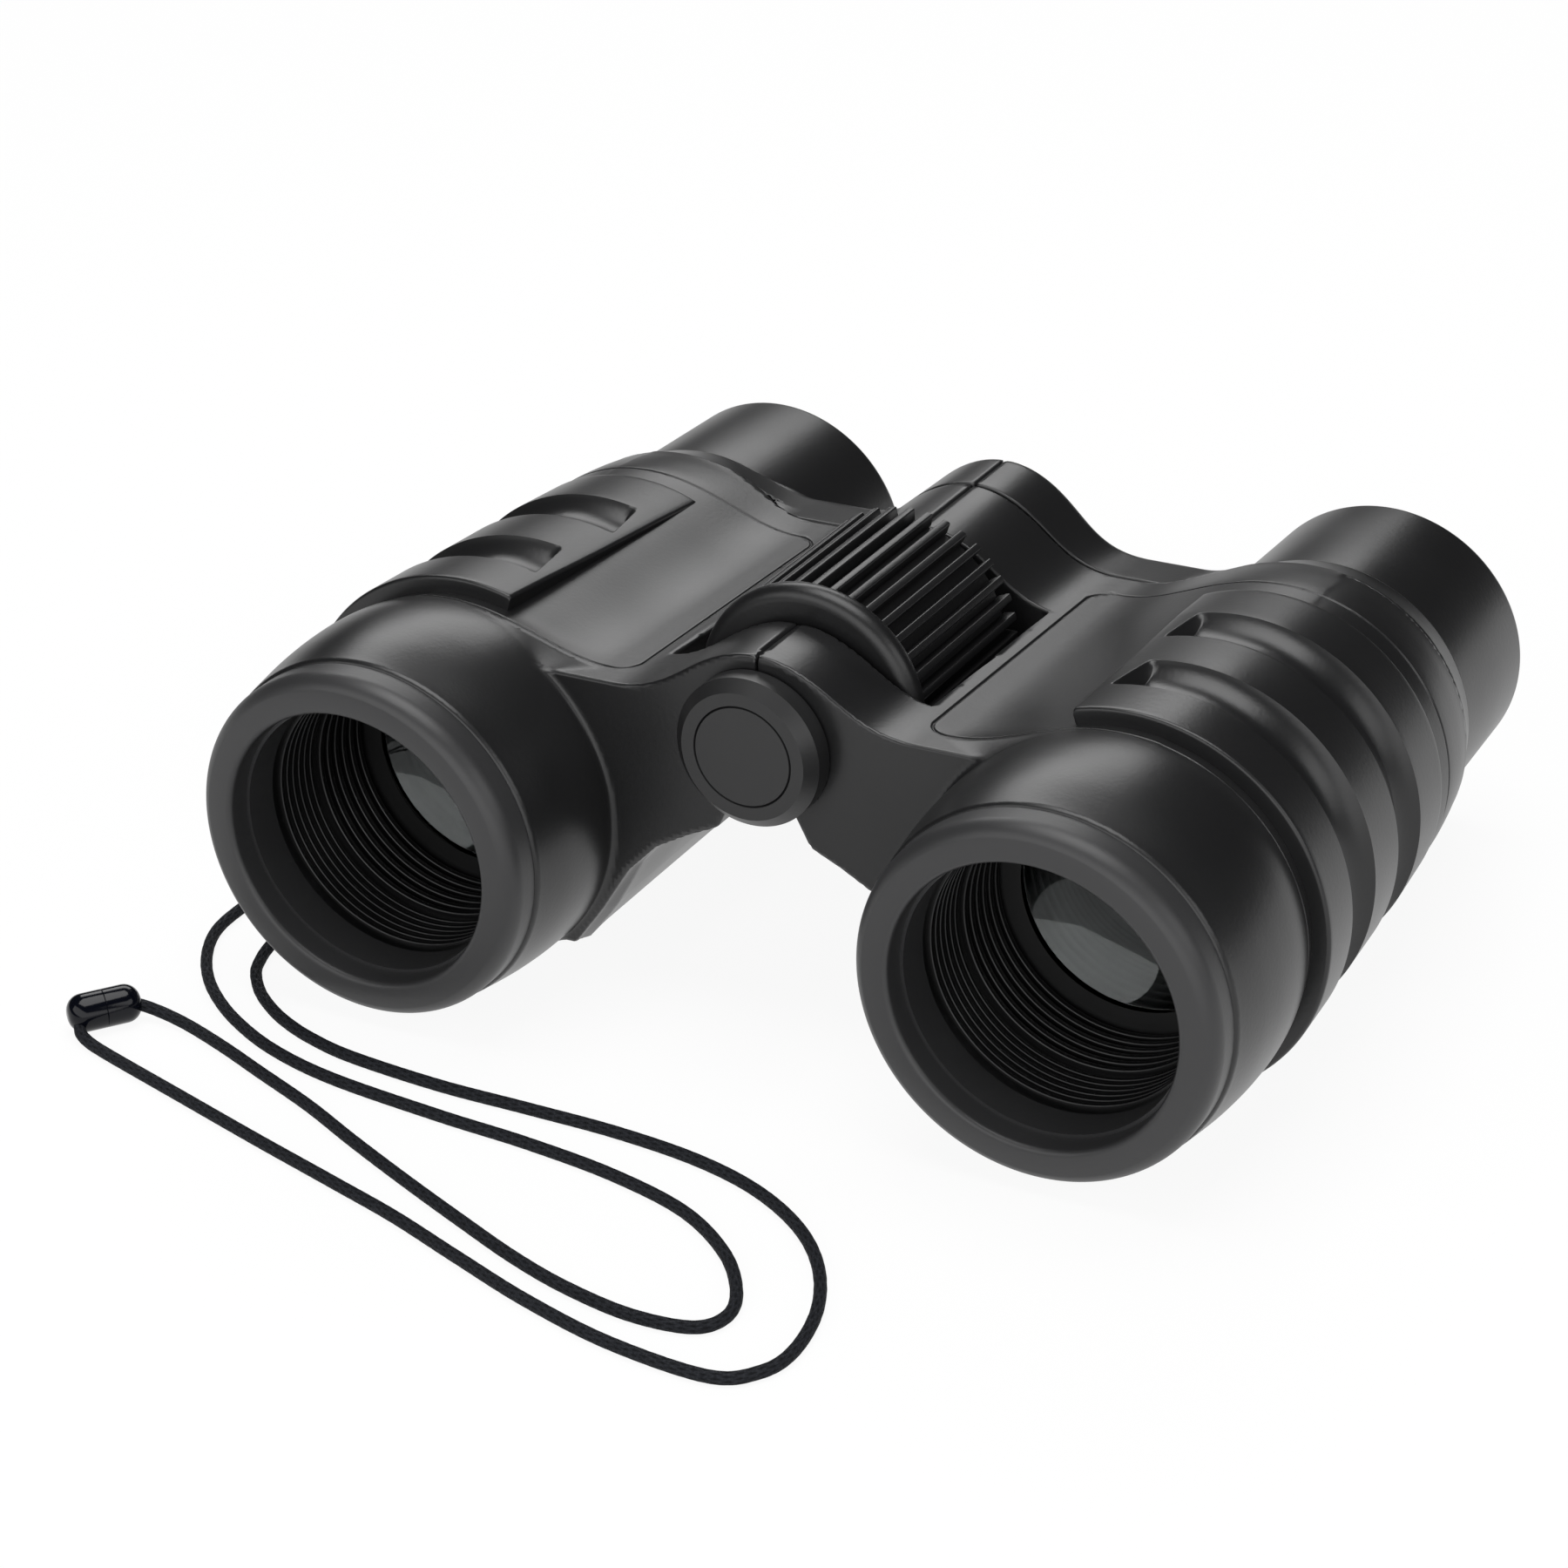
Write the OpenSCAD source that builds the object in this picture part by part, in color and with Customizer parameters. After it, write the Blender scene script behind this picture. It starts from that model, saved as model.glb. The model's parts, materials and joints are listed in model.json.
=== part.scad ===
// Toy binoculars with a folding bridge, a centre focus wheel and a thin neck cord.
// Front of the barrels faces -Y, eyepieces face +Y, the flat grip soles stand on Z = 0.

/* [Barrels] */
// Distance between the two barrel axes
barrel_spacing = 65; // [62:0.5:70]
// Gap between the widest part of a barrel and the rest face
floor_gap = 0.1; // [0.1:0.1:0.6]
// Length of the front bezel ring
bezel_len = 3.5; // [3:0.1:4.5]
// Bore radius of the hood in the front of a barrel
hood_bore_r = 13.8; // [13.5:0.1:14]
// Wall of the bezel ring outside the hood bore
bezel_wall = 2.5; // [2.2:0.1:2.8]
// Wall of the lining in the hood
lining_wall = 1.2; // [1:0.1:1.6]
// Length of the front bell of a barrel
bell_len = 14.5; // [13:0.5:16]
// Step from the bezel rim up to the bell
bell_lip = 0.2; // [0.1:0.1:0.5]
// Swell of the bell above its front edge
bell_swell = 0.8; // [0.5:0.1:1]
// Fall of the bell towards its rear step
bell_fall = 0.4; // [0.2:0.1:0.6]
// Step down from the bell to the barrel behind it
bell_step = 0.9; // [0.6:0.1:1.1]
// Length of the barrel behind the bell
barrel_len = 40.5; // [39:0.5:43]
// Loss of barrel radius over that length
barrel_taper = 1.1; // [0.8:0.1:1.3]
// Wall of the barrel at its rear end
barrel_wall = 2.52; // [2.3:0.02:2.8]

/* [Eyepieces] */
// Length of skirt still held in the barrel at full focus travel
skirt_hold = 14; // [11:0.5:16]
// Length of the collar that carries the eyepiece
collar_len = 3.9; // [3.5:0.1:5]
// Length of the eyepiece tube behind the collar
eyepiece_len = 15.8; // [14:0.2:19]
// Step down from the barrel to the eyepiece
eyepiece_step = 1.1; // [0.9:0.1:1.4]
// Loss of eyepiece radius over its length
eyepiece_taper = 0.4; // [0.2:0.1:0.6]
// Wall of the eyepiece round the eye recess
eye_wall = 1.8; // [1.5:0.1:2]
// Depth of the eye recess
eye_recess = 5; // [4.5:0.1:6]
// Focus travel of the eyepieces
focus_travel = 4; // [2:0.5:5]

/* [Bridge] */
// Rise of the hinge axis above the barrel axes
hinge_rise = 10.5; // [9.5:0.1:11]
// Rise of the saddles above the barrel axes
saddle_rise = 13.2; // [12.6:0.1:13.6]
// Rise of the ocular arms above the barrel axes, where they run into the collars
arm_rise = 11.2; // [10.8:0.1:12]
// Wall of the central hump over the hinge knuckles
hump_wall = 1.5; // [1.4:0.1:2]
// Half width over which the hump runs out into a saddle
hump_spread = 14.5; // [13:0.5:16]
// Distance from the bezel face to the front of the bridge
bridge_front = 14.9; // [14.5:0.1:16]
// Length of the front hump
front_hump_len = 7.7; // [7:0.1:8.5]
// Reach of the ocular arms in front of the barrel's rear end
arm_lead = 2.1; // [1.8:0.1:2.6]
// Length of the ocular arms
arm_len = 7.2; // [6.6:0.1:8]
// Depth of the ocular arms
arm_depth = 5; // [4:0.1:6]
// Half angle of the notch under the hinge
notch_half_angle = 26.5; // [26:0.5:30]
// Distance from the hinge axis to the notch corners
notch_reach = 10; // [9:0.1:11]

/* [Hinge and focus] */
// Radius of the hinge knuckles
knuckle_r = 6.2; // [5.6:0.1:6.3]
// Radius of the hinge pin and of the focus spindle
pin_r = 2.5; // [2:0.1:2.8]
// Wall of the hollow rear hinge bush
bush_wall = 1; // [0.8:0.1:1.4]
// Radius of the hinge cap
cap_r = 6.9; // [6.5:0.1:7.2]
// Thickness of the hinge cap
cap_len = 2.7; // [2.4:0.1:2.9]
// Radius of the wheel drum between its ribs
drum_r = 9.5; // [9:0.1:9.7]
// Height of the wheel ribs
rib_rise = 1; // [0.6:0.1:1.2]
// Rise of the wheel flange above the ribs
flange_rise = 0.35; // [0.2:0.05:0.6]
// Thickness of the wheel flange
flange_len = 2.7; // [2.2:0.1:3.2]
// Length of the wheel drum with its flange
wheel_len = 20; // [18:0.5:20.5]
// Length of the wheel hub behind its drum
hub_tail = 2.1; // [1.6:0.1:2.6]
// Room beside the wheel in its slot
wheel_room = 1.75; // [1.2:0.05:2]
// Number of ribs round the wheel
rib_count = 36; // [24:2:44]
// Width of one wheel rib
rib_w = 0.8; // [0.6:0.1:1]
// Wall of the threaded insert in the wheel
insert_wall = 1.5; // [1:0.1:2]

/* [Grips and strap] */
// Gap between the bell and the front wall of a grip
grip_gap = 1.4; // [0.8:0.1:2.4]
// Length of bare barrel behind a grip
grip_tail = 6.5; // [5.5:0.1:8]
// Rise of a grip above the barrel at its front wall
grip_front_rise = 2.04; // [1.7:0.02:2.2]
// Rise of a grip above the barrel at its rear end
grip_rear_rise = 1.27; // [1.2:0.01:1.6]
// Radius of the finger scallops
scallop_r = 4; // [3.4:0.1:4.6]
// Depth of the finger scallops
scallop_depth = 1.2; // [0.8:0.1:1.3]
// Width of the flat sole under a grip
sole_w = 12; // [11.5:0.5:13]
// Radius of the hole in the strap lug
lug_hole_r = 1; // [0.9:0.1:1.2]
// Wall of the strap lug round its hole
lug_wall = 1.1; // [0.9:0.1:1.2]
// Thickness of the strap lug
lug_len = 2.2; // [1.6:0.1:3]
// Radius of the neck cord
cord_r = 0.55; // [0.45:0.05:0.55]
// Radius of the cord clasp
clasp_r = 1.75; // [1.6:0.05:2]
// Length of one half of the cord clasp
clasp_half_len = 3.3; // [3:0.05:3.6]

/* [Hidden] */
left = -1;
right = 1;
fine = 96;
arc_steps = 12;
// Clearances: swinging parts, running fits, room behind the hinge pin, and the overrun of every cut
swing_gap = 0.3;
running_gap = 0.08;
pin_room = 1;
overrun = 1;
// Radii of the bezel, the bell and the barrel, outwards and inwards from the hood bore
bezel_r = hood_bore_r + bezel_wall;
opening_r = hood_bore_r - lining_wall;
bell_front_r = bezel_r + bell_lip;
bell_r = bell_front_r + bell_swell;
bell_rear_r = bell_r - bell_fall;
barrel_front_r = bell_rear_r - bell_step;
barrel_rear_r = barrel_front_r - barrel_taper;
skirt_bore_r = barrel_rear_r - barrel_wall;
skirt_r = skirt_bore_r - running_gap;
axis_height = max(bezel_r, bell_r, barrel_front_r) + floor_gap;
// Stations along a barrel, measured from the bezel face
bell_end = bezel_len + bell_len;
barrel_end = bell_end + barrel_len;
collar_start = barrel_end + swing_gap;
collar_end = collar_start + collar_len;
total_len = collar_end + eyepiece_len;
front_y = -total_len / 2;
barrel_x = barrel_spacing / 2;
hinge_z = axis_height + hinge_rise;
saddle_z = axis_height + saddle_rise;
arm_z = axis_height + arm_rise;
hump_r = knuckle_r + swing_gap + hump_wall;
hump_top = hinge_z + hump_r;
// Stations along the bridge: the wheel gives the slot its length, the rear hump ends at the ocular arms
slot_start = bridge_front + front_hump_len;
slot_len = wheel_len + hub_tail + 3 * swing_gap;
slot_end = slot_start + slot_len;
arm_start = barrel_end - arm_lead;
arm_end = arm_start + arm_len;
bridge_end = arm_start - swing_gap;
rear_hump_len = bridge_end - slot_end;
front_split = bridge_front + front_hump_len / 2;
rear_split = slot_end + rear_hump_len / 2;
arm_split = arm_start + arm_len / 2;
// The bell is widest a little way in front of its rear step
bell_crest_share = 0.62;
bell_crest = bezel_len + bell_len * bell_crest_share;
// Underside of the bridge where it runs into a barrel, in shares of the barrel radius
underside_shares = [[0, -0.75], [-0.6, -0.75], [-0.95, -0.59], [-1.135, -0.3], [-1.32, -0.117]];
// Bezel: rounded outer edge, flat face, small inner fillet, spigot in the hood
bezel_round = 1.6;
bezel_fillet = 0.7;
spigot_len = 2.5;
spigot_end = bezel_len + spigot_len;
// Hood lining: plain lip, fine rings, coarse ridges, then a shallow cone in to the lens
lip_len = 1;
ring_count = 6;
ring_pitch = 0.9;
ring_depth = 0.3;
ridge_count = 6;
ridge_pitch = 1.2;
ridge_depth = 0.7;
rings_start = spigot_end + lip_len;
ridges_start = rings_start + ring_count * ring_pitch;
cone_start = ridges_start + ridge_count * ridge_pitch;
cone_len = 0.4;
cone_drop = 2.2;
cone_end_r = opening_r - cone_drop;
lining_end = cone_start + cone_len;
// Objective lens with a flat rim that is clamped between the lining and the retainer
lens_rim = 1.6;
lens_crown = 0.6;
lens_end = lining_end + lens_rim;
retainer_len = 5.2;
hood_end = lens_end + retainer_len;
// Eyepiece: sliding skirt, tapered tube, and the seat of the eye lens with its ledge
skirt_start = barrel_end - skirt_hold - focus_travel;
eyepiece_front_r = barrel_rear_r - eyepiece_step;
eyepiece_rear_r = eyepiece_front_r - eyepiece_taper;
eye_ledge = 0.8;
eye_seat_r = eyepiece_rear_r - eye_wall;
eye_bore_r = eye_seat_r - eye_ledge;
eye_lens_rim = 2;
eye_lens_hollow = 0.8;
eye_ring_len = 1;
eye_ring_wall = 1.4;
eye_ring_end = total_len - eye_recess;
eye_lens_end = eye_ring_end - eye_ring_len;
eye_lens_start = eye_lens_end - eye_lens_rim;
eyepiece_round = 0.8;
collar_taper = 0.7;
// Hinge cap: bevelled rim, shallow round groove on its face
cap_bevel = 0.8;
cap_land = 1.4;
cap_groove_r = cap_r - cap_bevel - cap_land;
cap_groove = 0.25;
cap_skin = 1;
cap_back = bridge_front - swing_gap;
cap_front = cap_back - cap_len;
pin_start = cap_front + cap_skin;
pin_reach = 6.4;
pin_end = slot_start + pin_reach;
bush_r = pin_r + running_gap + bush_wall;
insert_r = pin_r + running_gap + insert_wall;
wheel_start = slot_start + swing_gap;
flange_start = wheel_start + swing_gap;
wheel_end = flange_start + wheel_len;
rib_r = drum_r + rib_rise;
flange_r = rib_r + flange_rise;
flange_round_share = 0.44;
flange_round = flange_len * flange_round_share;
slot_half_w = flange_r + wheel_room;
hub_wall = 0.92;
hub_r = insert_r + hub_wall;
hub_end = wheel_end + hub_tail;
insert_start = pin_end + pin_room;
spindle_start = insert_start + swing_gap;
spindle_cap_wall = 2;
spindle_cap_r = pin_r + spindle_cap_wall;
spindle_cap_len = 2.3;
spindle_cap_start = arm_end + swing_gap;
spindle_end = spindle_cap_start + spindle_cap_len - cap_skin;
// Grips: start a little inboard of the top, run round the outside and end under the barrel
grip_inboard_angle = 17;
grip_under_angle = 118;
scallop_inset_angle = 5;
scallop_under_angle = 58;
grip_front = bell_end + grip_gap;
grip_end = barrel_end - grip_tail;
grip_len = grip_end - grip_front;
grip_run_out = 2;
grip_front_r = barrel_r(grip_front) + grip_front_rise;
grip_rear_r = barrel_r(grip_end - grip_run_out) + grip_rear_rise;
grip_rear_step = 0.4;
scallop_shares = [0.27, 0.65];
scallop_stations = [for (share = scallop_shares) grip_front + grip_len * share];
sole_inset = 1.2;
sole_root = 2;
sole_h = axis_height - barrel_rear_r + sole_root;
// Strap lug on the outer underside of the left bell
lug_angle = 222;
lug_stand_off = 1.9;
lug_share = 0.75;
lug_station = bezel_len + bell_len * lug_share;
lug_center_r = bell_r + lug_stand_off;
lug_r = lug_hole_r + lug_wall;
// Neck cord: two strands from the lug to the clasp, lying on the rest face
cord_sides = 8;
clasp_center = [-53.95, -49.1, clasp_r];
clasp_turn = 51.5;
clasp_face_r = 0.3;
route_a = [
    [-46.8, -23.8, 4.55], [-46.8, -21.4, 4.5], [-47.7, -19.2, 4], [-49.8, -18, 3],
    [-52.2, -18.4, 1.9], [-54, -20.4, 1.1], [-54.9, -23.4, 0.65], [-55.1, -27, 0.55],
    [-54.8, -30.8, 0.55], [-53.5, -34.2, 0.55], [-51.1, -37.8, 0.55], [-47.8, -41.1, 0.55],
    [-43.2, -44.3, 0.55], [-37.2, -47.1, 0.55], [-29.6, -49, 0.55], [-18, -50.2, 0.55],
    [-8.8, -50.8, 0.55], [0.3, -52, 0.55], [8.4, -54.3, 0.55], [14.4, -58.2, 0.55],
    [18, -62.6, 0.55], [19, -66, 0.55], [17.3, -68.4, 0.55], [12, -69, 0.55], [5.5, -67.9, 0.55],
    [-0.6, -66, 0.55], [-7.5, -63.2, 0.55], [-14.8, -60.1, 0.55], [-22.2, -56.8, 0.55],
    [-29, -53.6, 0.55], [-36.2, -50.7, 0.55], [-41.4, -48.6, 0.55], [-46, -47, 0.6],
    [-48.8, -46.5, 0.85], [-50.9, -46.6, 1.25], [-52.2, -47, 1.6]
];
route_b = [
    [-46.8, -23.8, 4.55], [-46.8, -26.2, 4.5], [-47.1, -28, 3.7], [-47.7, -29.6, 2.2],
    [-48.2, -31.2, 1], [-48.2, -32.6, 0.6], [-47.8, -34, 0.55], [-46.8, -36.2, 0.55],
    [-44.6, -38.8, 0.55], [-42.1, -40.8, 0.55], [-39.2, -42.5, 0.55], [-35.4, -44, 0.55],
    [-30.2, -45.2, 0.55], [-20.7, -46, 0.55], [-11.7, -46, 0.55], [-2.9, -46.1, 0.55],
    [5.4, -47, 0.55], [12.2, -49, 0.55], [18, -52.4, 0.55], [22.2, -56.8, 0.55],
    [25, -62.2, 0.55], [26, -67.8, 0.55], [25, -71.4, 0.55], [21.6, -73.6, 0.55],
    [12.5, -73, 0.55], [3.6, -70.8, 0.55], [-4.8, -67.9, 0.55], [-12.6, -65.1, 0.55],
    [-20, -62.9, 0.55], [-30, -60, 0.55], [-40.6, -56.8, 0.55], [-46.6, -55, 0.55],
    [-50.5, -53.8, 0.55], [-52.8, -53, 0.6], [-54.2, -52.3, 0.85], [-55, -51.3, 1.35]
];

// Barrel radius at a station behind the bell
function barrel_r(s) =
    barrel_front_r + (barrel_rear_r - barrel_front_r) * (s - bell_end) / barrel_len;

// Grip radius at a station behind its front wall
function grip_r(s) = grip_front_r + (grip_rear_r - grip_front_r) * (s - grip_front) / grip_len;

// Outer outline of a barrel, from the bezel to the rear end
function barrel_outline() = [
    [bell_front_r, bezel_len], [bell_r, bell_crest], [bell_rear_r, bell_end],
    [barrel_front_r, bell_end], [barrel_rear_r, barrel_end]
];

// Height of the bridge skin at a distance from the middle plane, over a saddle of a given height
function bridge_top(x, low_z) = low_z + (hump_top - low_z) * (1 + cos(180 * x / hump_spread)) / 2;

// Quarter round from one direction to another about a center
function arc(center, r, from, to) = [
    for (i = [0 : arc_steps])
        let (a = from + (to - from) * i / arc_steps) center + r * [cos(a), sin(a)]
];

// A turned piece on the axis of a barrel, its outline given as [radius, station]
module turned(side, outline) {
    translate([side * barrel_x, front_y, axis_height])
        rotate([-90, 0, 0])
            rotate_extrude($fn = fine) polygon(outline);
}

// A turned piece on the hinge axis
module hinge_turned(outline) {
    translate([0, front_y, hinge_z])
        rotate([-90, 0, 0])
            rotate_extrude($fn = fine) polygon(outline);
}

// A rod on the hinge axis between two stations
module hinge_rod(r, from, to) {
    translate([0, front_y + from, hinge_z])
        rotate([-90, 0, 0])
            cylinder(r = r, h = to - from, $fn = fine);
}

// A rod on a barrel axis between two stations
module barrel_rod(side, r, from, to) {
    translate([side * barrel_x, front_y + from, axis_height])
        rotate([-90, 0, 0])
            cylinder(r = r, h = to - from, $fn = fine);
}

// Everything drawn for the right side, mirrored when the left side is asked for
module on_side(side) {
    mirror([side == left ? 1 : 0, 0, 0]) children();
}

// Right half of the bridge section between two stations: hump, saddle, underside and notch
module bridge_half(from, to, low_z) {
    notch = [notch_reach * sin(notch_half_angle), hinge_z - notch_reach * cos(notch_half_angle)];
    skin = [
        for (i = [0 : arc_steps])
            let (x = swing_gap / 2 + (hump_spread - swing_gap / 2) * i / arc_steps)
                [x, bridge_top(x, low_z)]
    ];
    underside = [for (p = underside_shares) [barrel_x, axis_height] + barrel_front_r * p];
    translate([0, front_y + to, 0])
        rotate([90, 0, 0])
            linear_extrude(to - from)
                polygon(concat(skin, [[barrel_x, low_z]], underside, [notch, [swing_gap / 2, hinge_z]]));
}

// The space inside a barrel: hood bore in front, skirt bore behind
module barrel_bore(side) {
    turned(side, [
        [0, -overrun], [hood_bore_r, -overrun], [hood_bore_r, hood_end], [skirt_bore_r, hood_end],
        [skirt_bore_r, arm_end + overrun], [0, arm_end + overrun]
    ]);
}

// One body half: hollow barrel, its half of the bridge and its hinge knuckles
module body_shell(side) {
    own_front = side == left ? bridge_front : front_split + swing_gap / 2;
    own_rear = side == left ? slot_end : rear_split + swing_gap / 2;
    other_front = side == left ? front_split - swing_gap / 2 : bridge_front - overrun;
    other_rear = side == left ? rear_split - swing_gap / 2 : slot_end - overrun;
    own_front_len = front_hump_len / 2 - swing_gap / 2;
    own_rear_len = rear_hump_len / 2 - swing_gap / 2;
    cut_front_len = own_front_len + swing_gap + overrun;
    cut_rear_len = own_rear_len + swing_gap + overrun;
    pin_bore_r = side == left ? pin_r : pin_r + running_gap;
    bush_bore_r = side == left ? bush_r : bush_r + running_gap;
    color("#3a3a3c")
        difference() {
            union() {
                difference() {
                    union() {
                        turned(side, concat([[0, bezel_len]], barrel_outline(), [[0, barrel_end]]));
                        on_side(side) bridge_half(bridge_front, bridge_end, saddle_z);
                    }
                    translate([-slot_half_w, front_y + slot_start, 0])
                        cube([2 * slot_half_w, slot_len, hump_top + overrun]);
                    hinge_rod(knuckle_r + swing_gap, other_front, other_front + cut_front_len);
                    hinge_rod(knuckle_r + swing_gap, other_rear, other_rear + cut_rear_len);
                }
                hinge_rod(knuckle_r, own_front, own_front + own_front_len);
                hinge_rod(knuckle_r, own_rear, own_rear + own_rear_len);
            }
            barrel_bore(side);
            hinge_rod(pin_bore_r, bridge_front - overrun, slot_start + overrun);
            hinge_rod(bush_bore_r, slot_end - overrun, bridge_end + overrun);
        }
}

// Front ring with a rounded rim, a flat face and a spigot that sits in the hood
module objective_bezel(side) {
    rim = arc([bezel_r - bezel_round, bezel_round], bezel_round, -90, 0);
    fillet = arc([opening_r + bezel_fillet, bezel_fillet], bezel_fillet, 180, 270);
    spigot = [[hood_bore_r, bezel_len], [hood_bore_r, spigot_end], [opening_r, spigot_end]];
    color("#4a4a4c")
        turned(side, concat(fillet, rim, [[bezel_r, bezel_len]], spigot));
}

// Lining of the hood with its anti-glare rings and ridges
module baffle_tube(side) {
    rings = [
        for (i = [0 : ring_count - 1])
            let (s = rings_start + i * ring_pitch, crest = s + ring_pitch / 2)
                each [[opening_r, s], [opening_r - ring_depth, crest], [opening_r, crest]]
    ];
    ridge_r = opening_r - ridge_depth;
    ridges = [
        for (i = [0 : ridge_count - 1])
            let (s = ridges_start + i * ridge_pitch, end = s + ridge_pitch / 2)
                each [[opening_r, s], [ridge_r, s], [ridge_r, end], [opening_r, end]]
    ];
    color("#161617")
        turned(side, concat(
            [[hood_bore_r, spigot_end], [opening_r, spigot_end]], rings, ridges,
            [[opening_r, cone_start], [cone_end_r, lining_end], [hood_bore_r, lining_end]]
        ));
}

// Convex objective lens with a flat clamped rim
module objective_lens(side) {
    shares = [for (i = [0 : arc_steps]) sin(90 * i / arc_steps)];
    front = [for (share = shares) [cone_end_r * share, lining_end - lens_crown * (1 - pow(share, 2))]];
    rim = [[hood_bore_r, lining_end], [hood_bore_r, lens_end]];
    back = [for (i = [arc_steps : -1 : 0]) [front[i].x, lens_end + lining_end - front[i].y]];
    color("#9fb4b8", 0.4) turned(side, concat(front, rim, back));
}

// Tube that holds the objective lens against the lining
module lens_retainer(side) {
    color("#1d1d1e")
        turned(side, [
            [cone_end_r, lens_end], [hood_bore_r, lens_end], [hood_bore_r, hood_end], [cone_end_r, hood_end]
        ]);
}

// Raised finger grip with two scallops and a flat sole
module finger_grip(side) {
    grip_outline = [
        [0, grip_front], [grip_front_r, grip_front], [grip_rear_r, grip_end - grip_run_out],
        [barrel_r(grip_end) + grip_rear_step, grip_end], [0, grip_end]
    ];
    core_outline = [
        [0, grip_front - overrun], [barrel_r(grip_front - overrun), grip_front - overrun],
        [barrel_r(grip_end + overrun), grip_end + overrun], [0, grip_end + overrun]
    ];
    sweep = 90 + grip_inboard_angle + grip_under_angle;
    scallop_sweep = 90 + grip_inboard_angle - scallop_inset_angle + scallop_under_angle;
    color("#2f2f31")
        on_side(side)
            difference() {
                union() {
                    translate([barrel_x, front_y, axis_height])
                        rotate([-90, 0, 0])
                            rotate([0, 0, -90 - grip_inboard_angle])
                                rotate_extrude(angle = sweep, $fn = fine)
                                    polygon(grip_outline);
                    translate([barrel_x - sole_w / 2, front_y + grip_front + sole_inset, 0])
                        cube([sole_w, grip_len - 2 * sole_inset, sole_h]);
                }
                turned(right, core_outline);
                for (s = scallop_stations)
                    translate([barrel_x, front_y, axis_height])
                        rotate([-90, 0, 0])
                            rotate([0, 0, scallop_inset_angle - 90 - grip_inboard_angle])
                                rotate_extrude(angle = scallop_sweep, $fn = fine)
                                    translate([grip_r(s) + scallop_r - scallop_depth, s])
                                        circle(r = scallop_r, $fn = fine);
                translate([0, front_y, -overrun - grip_front_r])
                    cube([barrel_x + grip_front_r + overrun, total_len, overrun + grip_front_r]);
            }
}

// Ocular arm: its half of the rear hump, a beam along the saddle and the eyepiece collar
module ocular_arm(side) {
    own = side == left ? arm_start : arm_split + swing_gap / 2;
    other = side == left ? arm_split - swing_gap / 2 : arm_start - overrun;
    own_len = arm_len / 2 - swing_gap / 2;
    bore_r = side == left ? pin_r : pin_r + running_gap;
    beam_z = arm_z - arm_depth;
    color("#38383a")
        difference() {
            union() {
                difference() {
                    on_side(side) bridge_half(arm_start, arm_end, arm_z);
                    translate([-barrel_x - overrun, front_y + arm_start - overrun, 0])
                        cube([2 * barrel_x + 2 * overrun, arm_len + 2 * overrun, beam_z]);
                    hinge_rod(knuckle_r + swing_gap, other, other + own_len + swing_gap + overrun);
                }
                hinge_rod(knuckle_r, own, own + own_len);
                turned(side, [
                    [0, collar_start], [barrel_rear_r, collar_start],
                    [barrel_rear_r - collar_taper, collar_end], [0, collar_end]
                ]);
            }
            barrel_rod(side, barrel_r(bridge_end) + swing_gap, arm_start - overrun, collar_start);
            barrel_rod(side, skirt_r, collar_start - overrun, collar_end + overrun);
            barrel_rod(side, eyepiece_front_r, collar_end, arm_end + overrun);
            hinge_rod(bore_r, arm_start - overrun, arm_end + overrun);
        }
}

// Eyepiece tube: skirt inside the barrel, outer tube behind the collar
module eyepiece_tube(side) {
    skirt = [[eye_bore_r, skirt_start], [skirt_r, skirt_start], [skirt_r, collar_end]];
    rim = arc([eyepiece_rear_r - eyepiece_round, total_len - eyepiece_round], eyepiece_round, 0, 90);
    seat = [[eye_seat_r, total_len], [eye_seat_r, eye_lens_start], [eye_bore_r, eye_lens_start]];
    color("#3c3c3e")
        turned(side, concat(skirt, [[eyepiece_front_r, collar_end]], rim, seat));
}

// Hollow-ground eye lens
module eye_lens(side) {
    dish = [for (i = [0 : arc_steps]) eye_bore_r * i / arc_steps];
    color("#9fb4b8", 0.4)
        turned(side, concat(
            [for (r = dish) [r, eye_lens_start + eye_lens_hollow * (1 - pow(r / eye_bore_r, 2))]],
            [[eye_seat_r, eye_lens_start], [eye_seat_r, eye_lens_end], [0, eye_lens_end]]
        ));
}

// Ring that keeps the eye lens in its seat
module eye_lens_ring(side) {
    color("#1d1d1e")
        turned(side, [
            [eye_seat_r - eye_ring_wall, eye_lens_end], [eye_seat_r, eye_lens_end],
            [eye_seat_r, eye_ring_end], [eye_seat_r - eye_ring_wall, eye_ring_end]
        ]);
}

// Front hinge pin, fixed in the left half, which also carries the wheel
module hinge_pin() {
    color("#b9bcc0") hinge_rod(pin_r, pin_start, pin_end);
}

// Bevelled cap on the front end of the hinge pin
module hinge_cap() {
    face = cap_r - cap_bevel;
    color("#3f3f41")
        hinge_turned([
            [0, cap_front], [cap_groove_r - cap_groove, cap_front],
            [cap_groove_r - cap_groove, cap_front + cap_groove], [cap_groove_r, cap_front + cap_groove],
            [cap_groove_r, cap_front], [face, cap_front], [cap_r, cap_front + cap_bevel],
            [cap_r, cap_back], [pin_r, cap_back], [pin_r, pin_start], [0, pin_start]
        ]);
}

// Hollow rear hinge bush, fixed in the left half, with the spindle sliding through it
module hinge_bush() {
    color("#b9bcc0")
        hinge_turned([
            [pin_r + running_gap, slot_end], [bush_r, slot_end],
            [bush_r, bridge_end], [pin_r + running_gap, bridge_end]
        ]);
}

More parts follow.
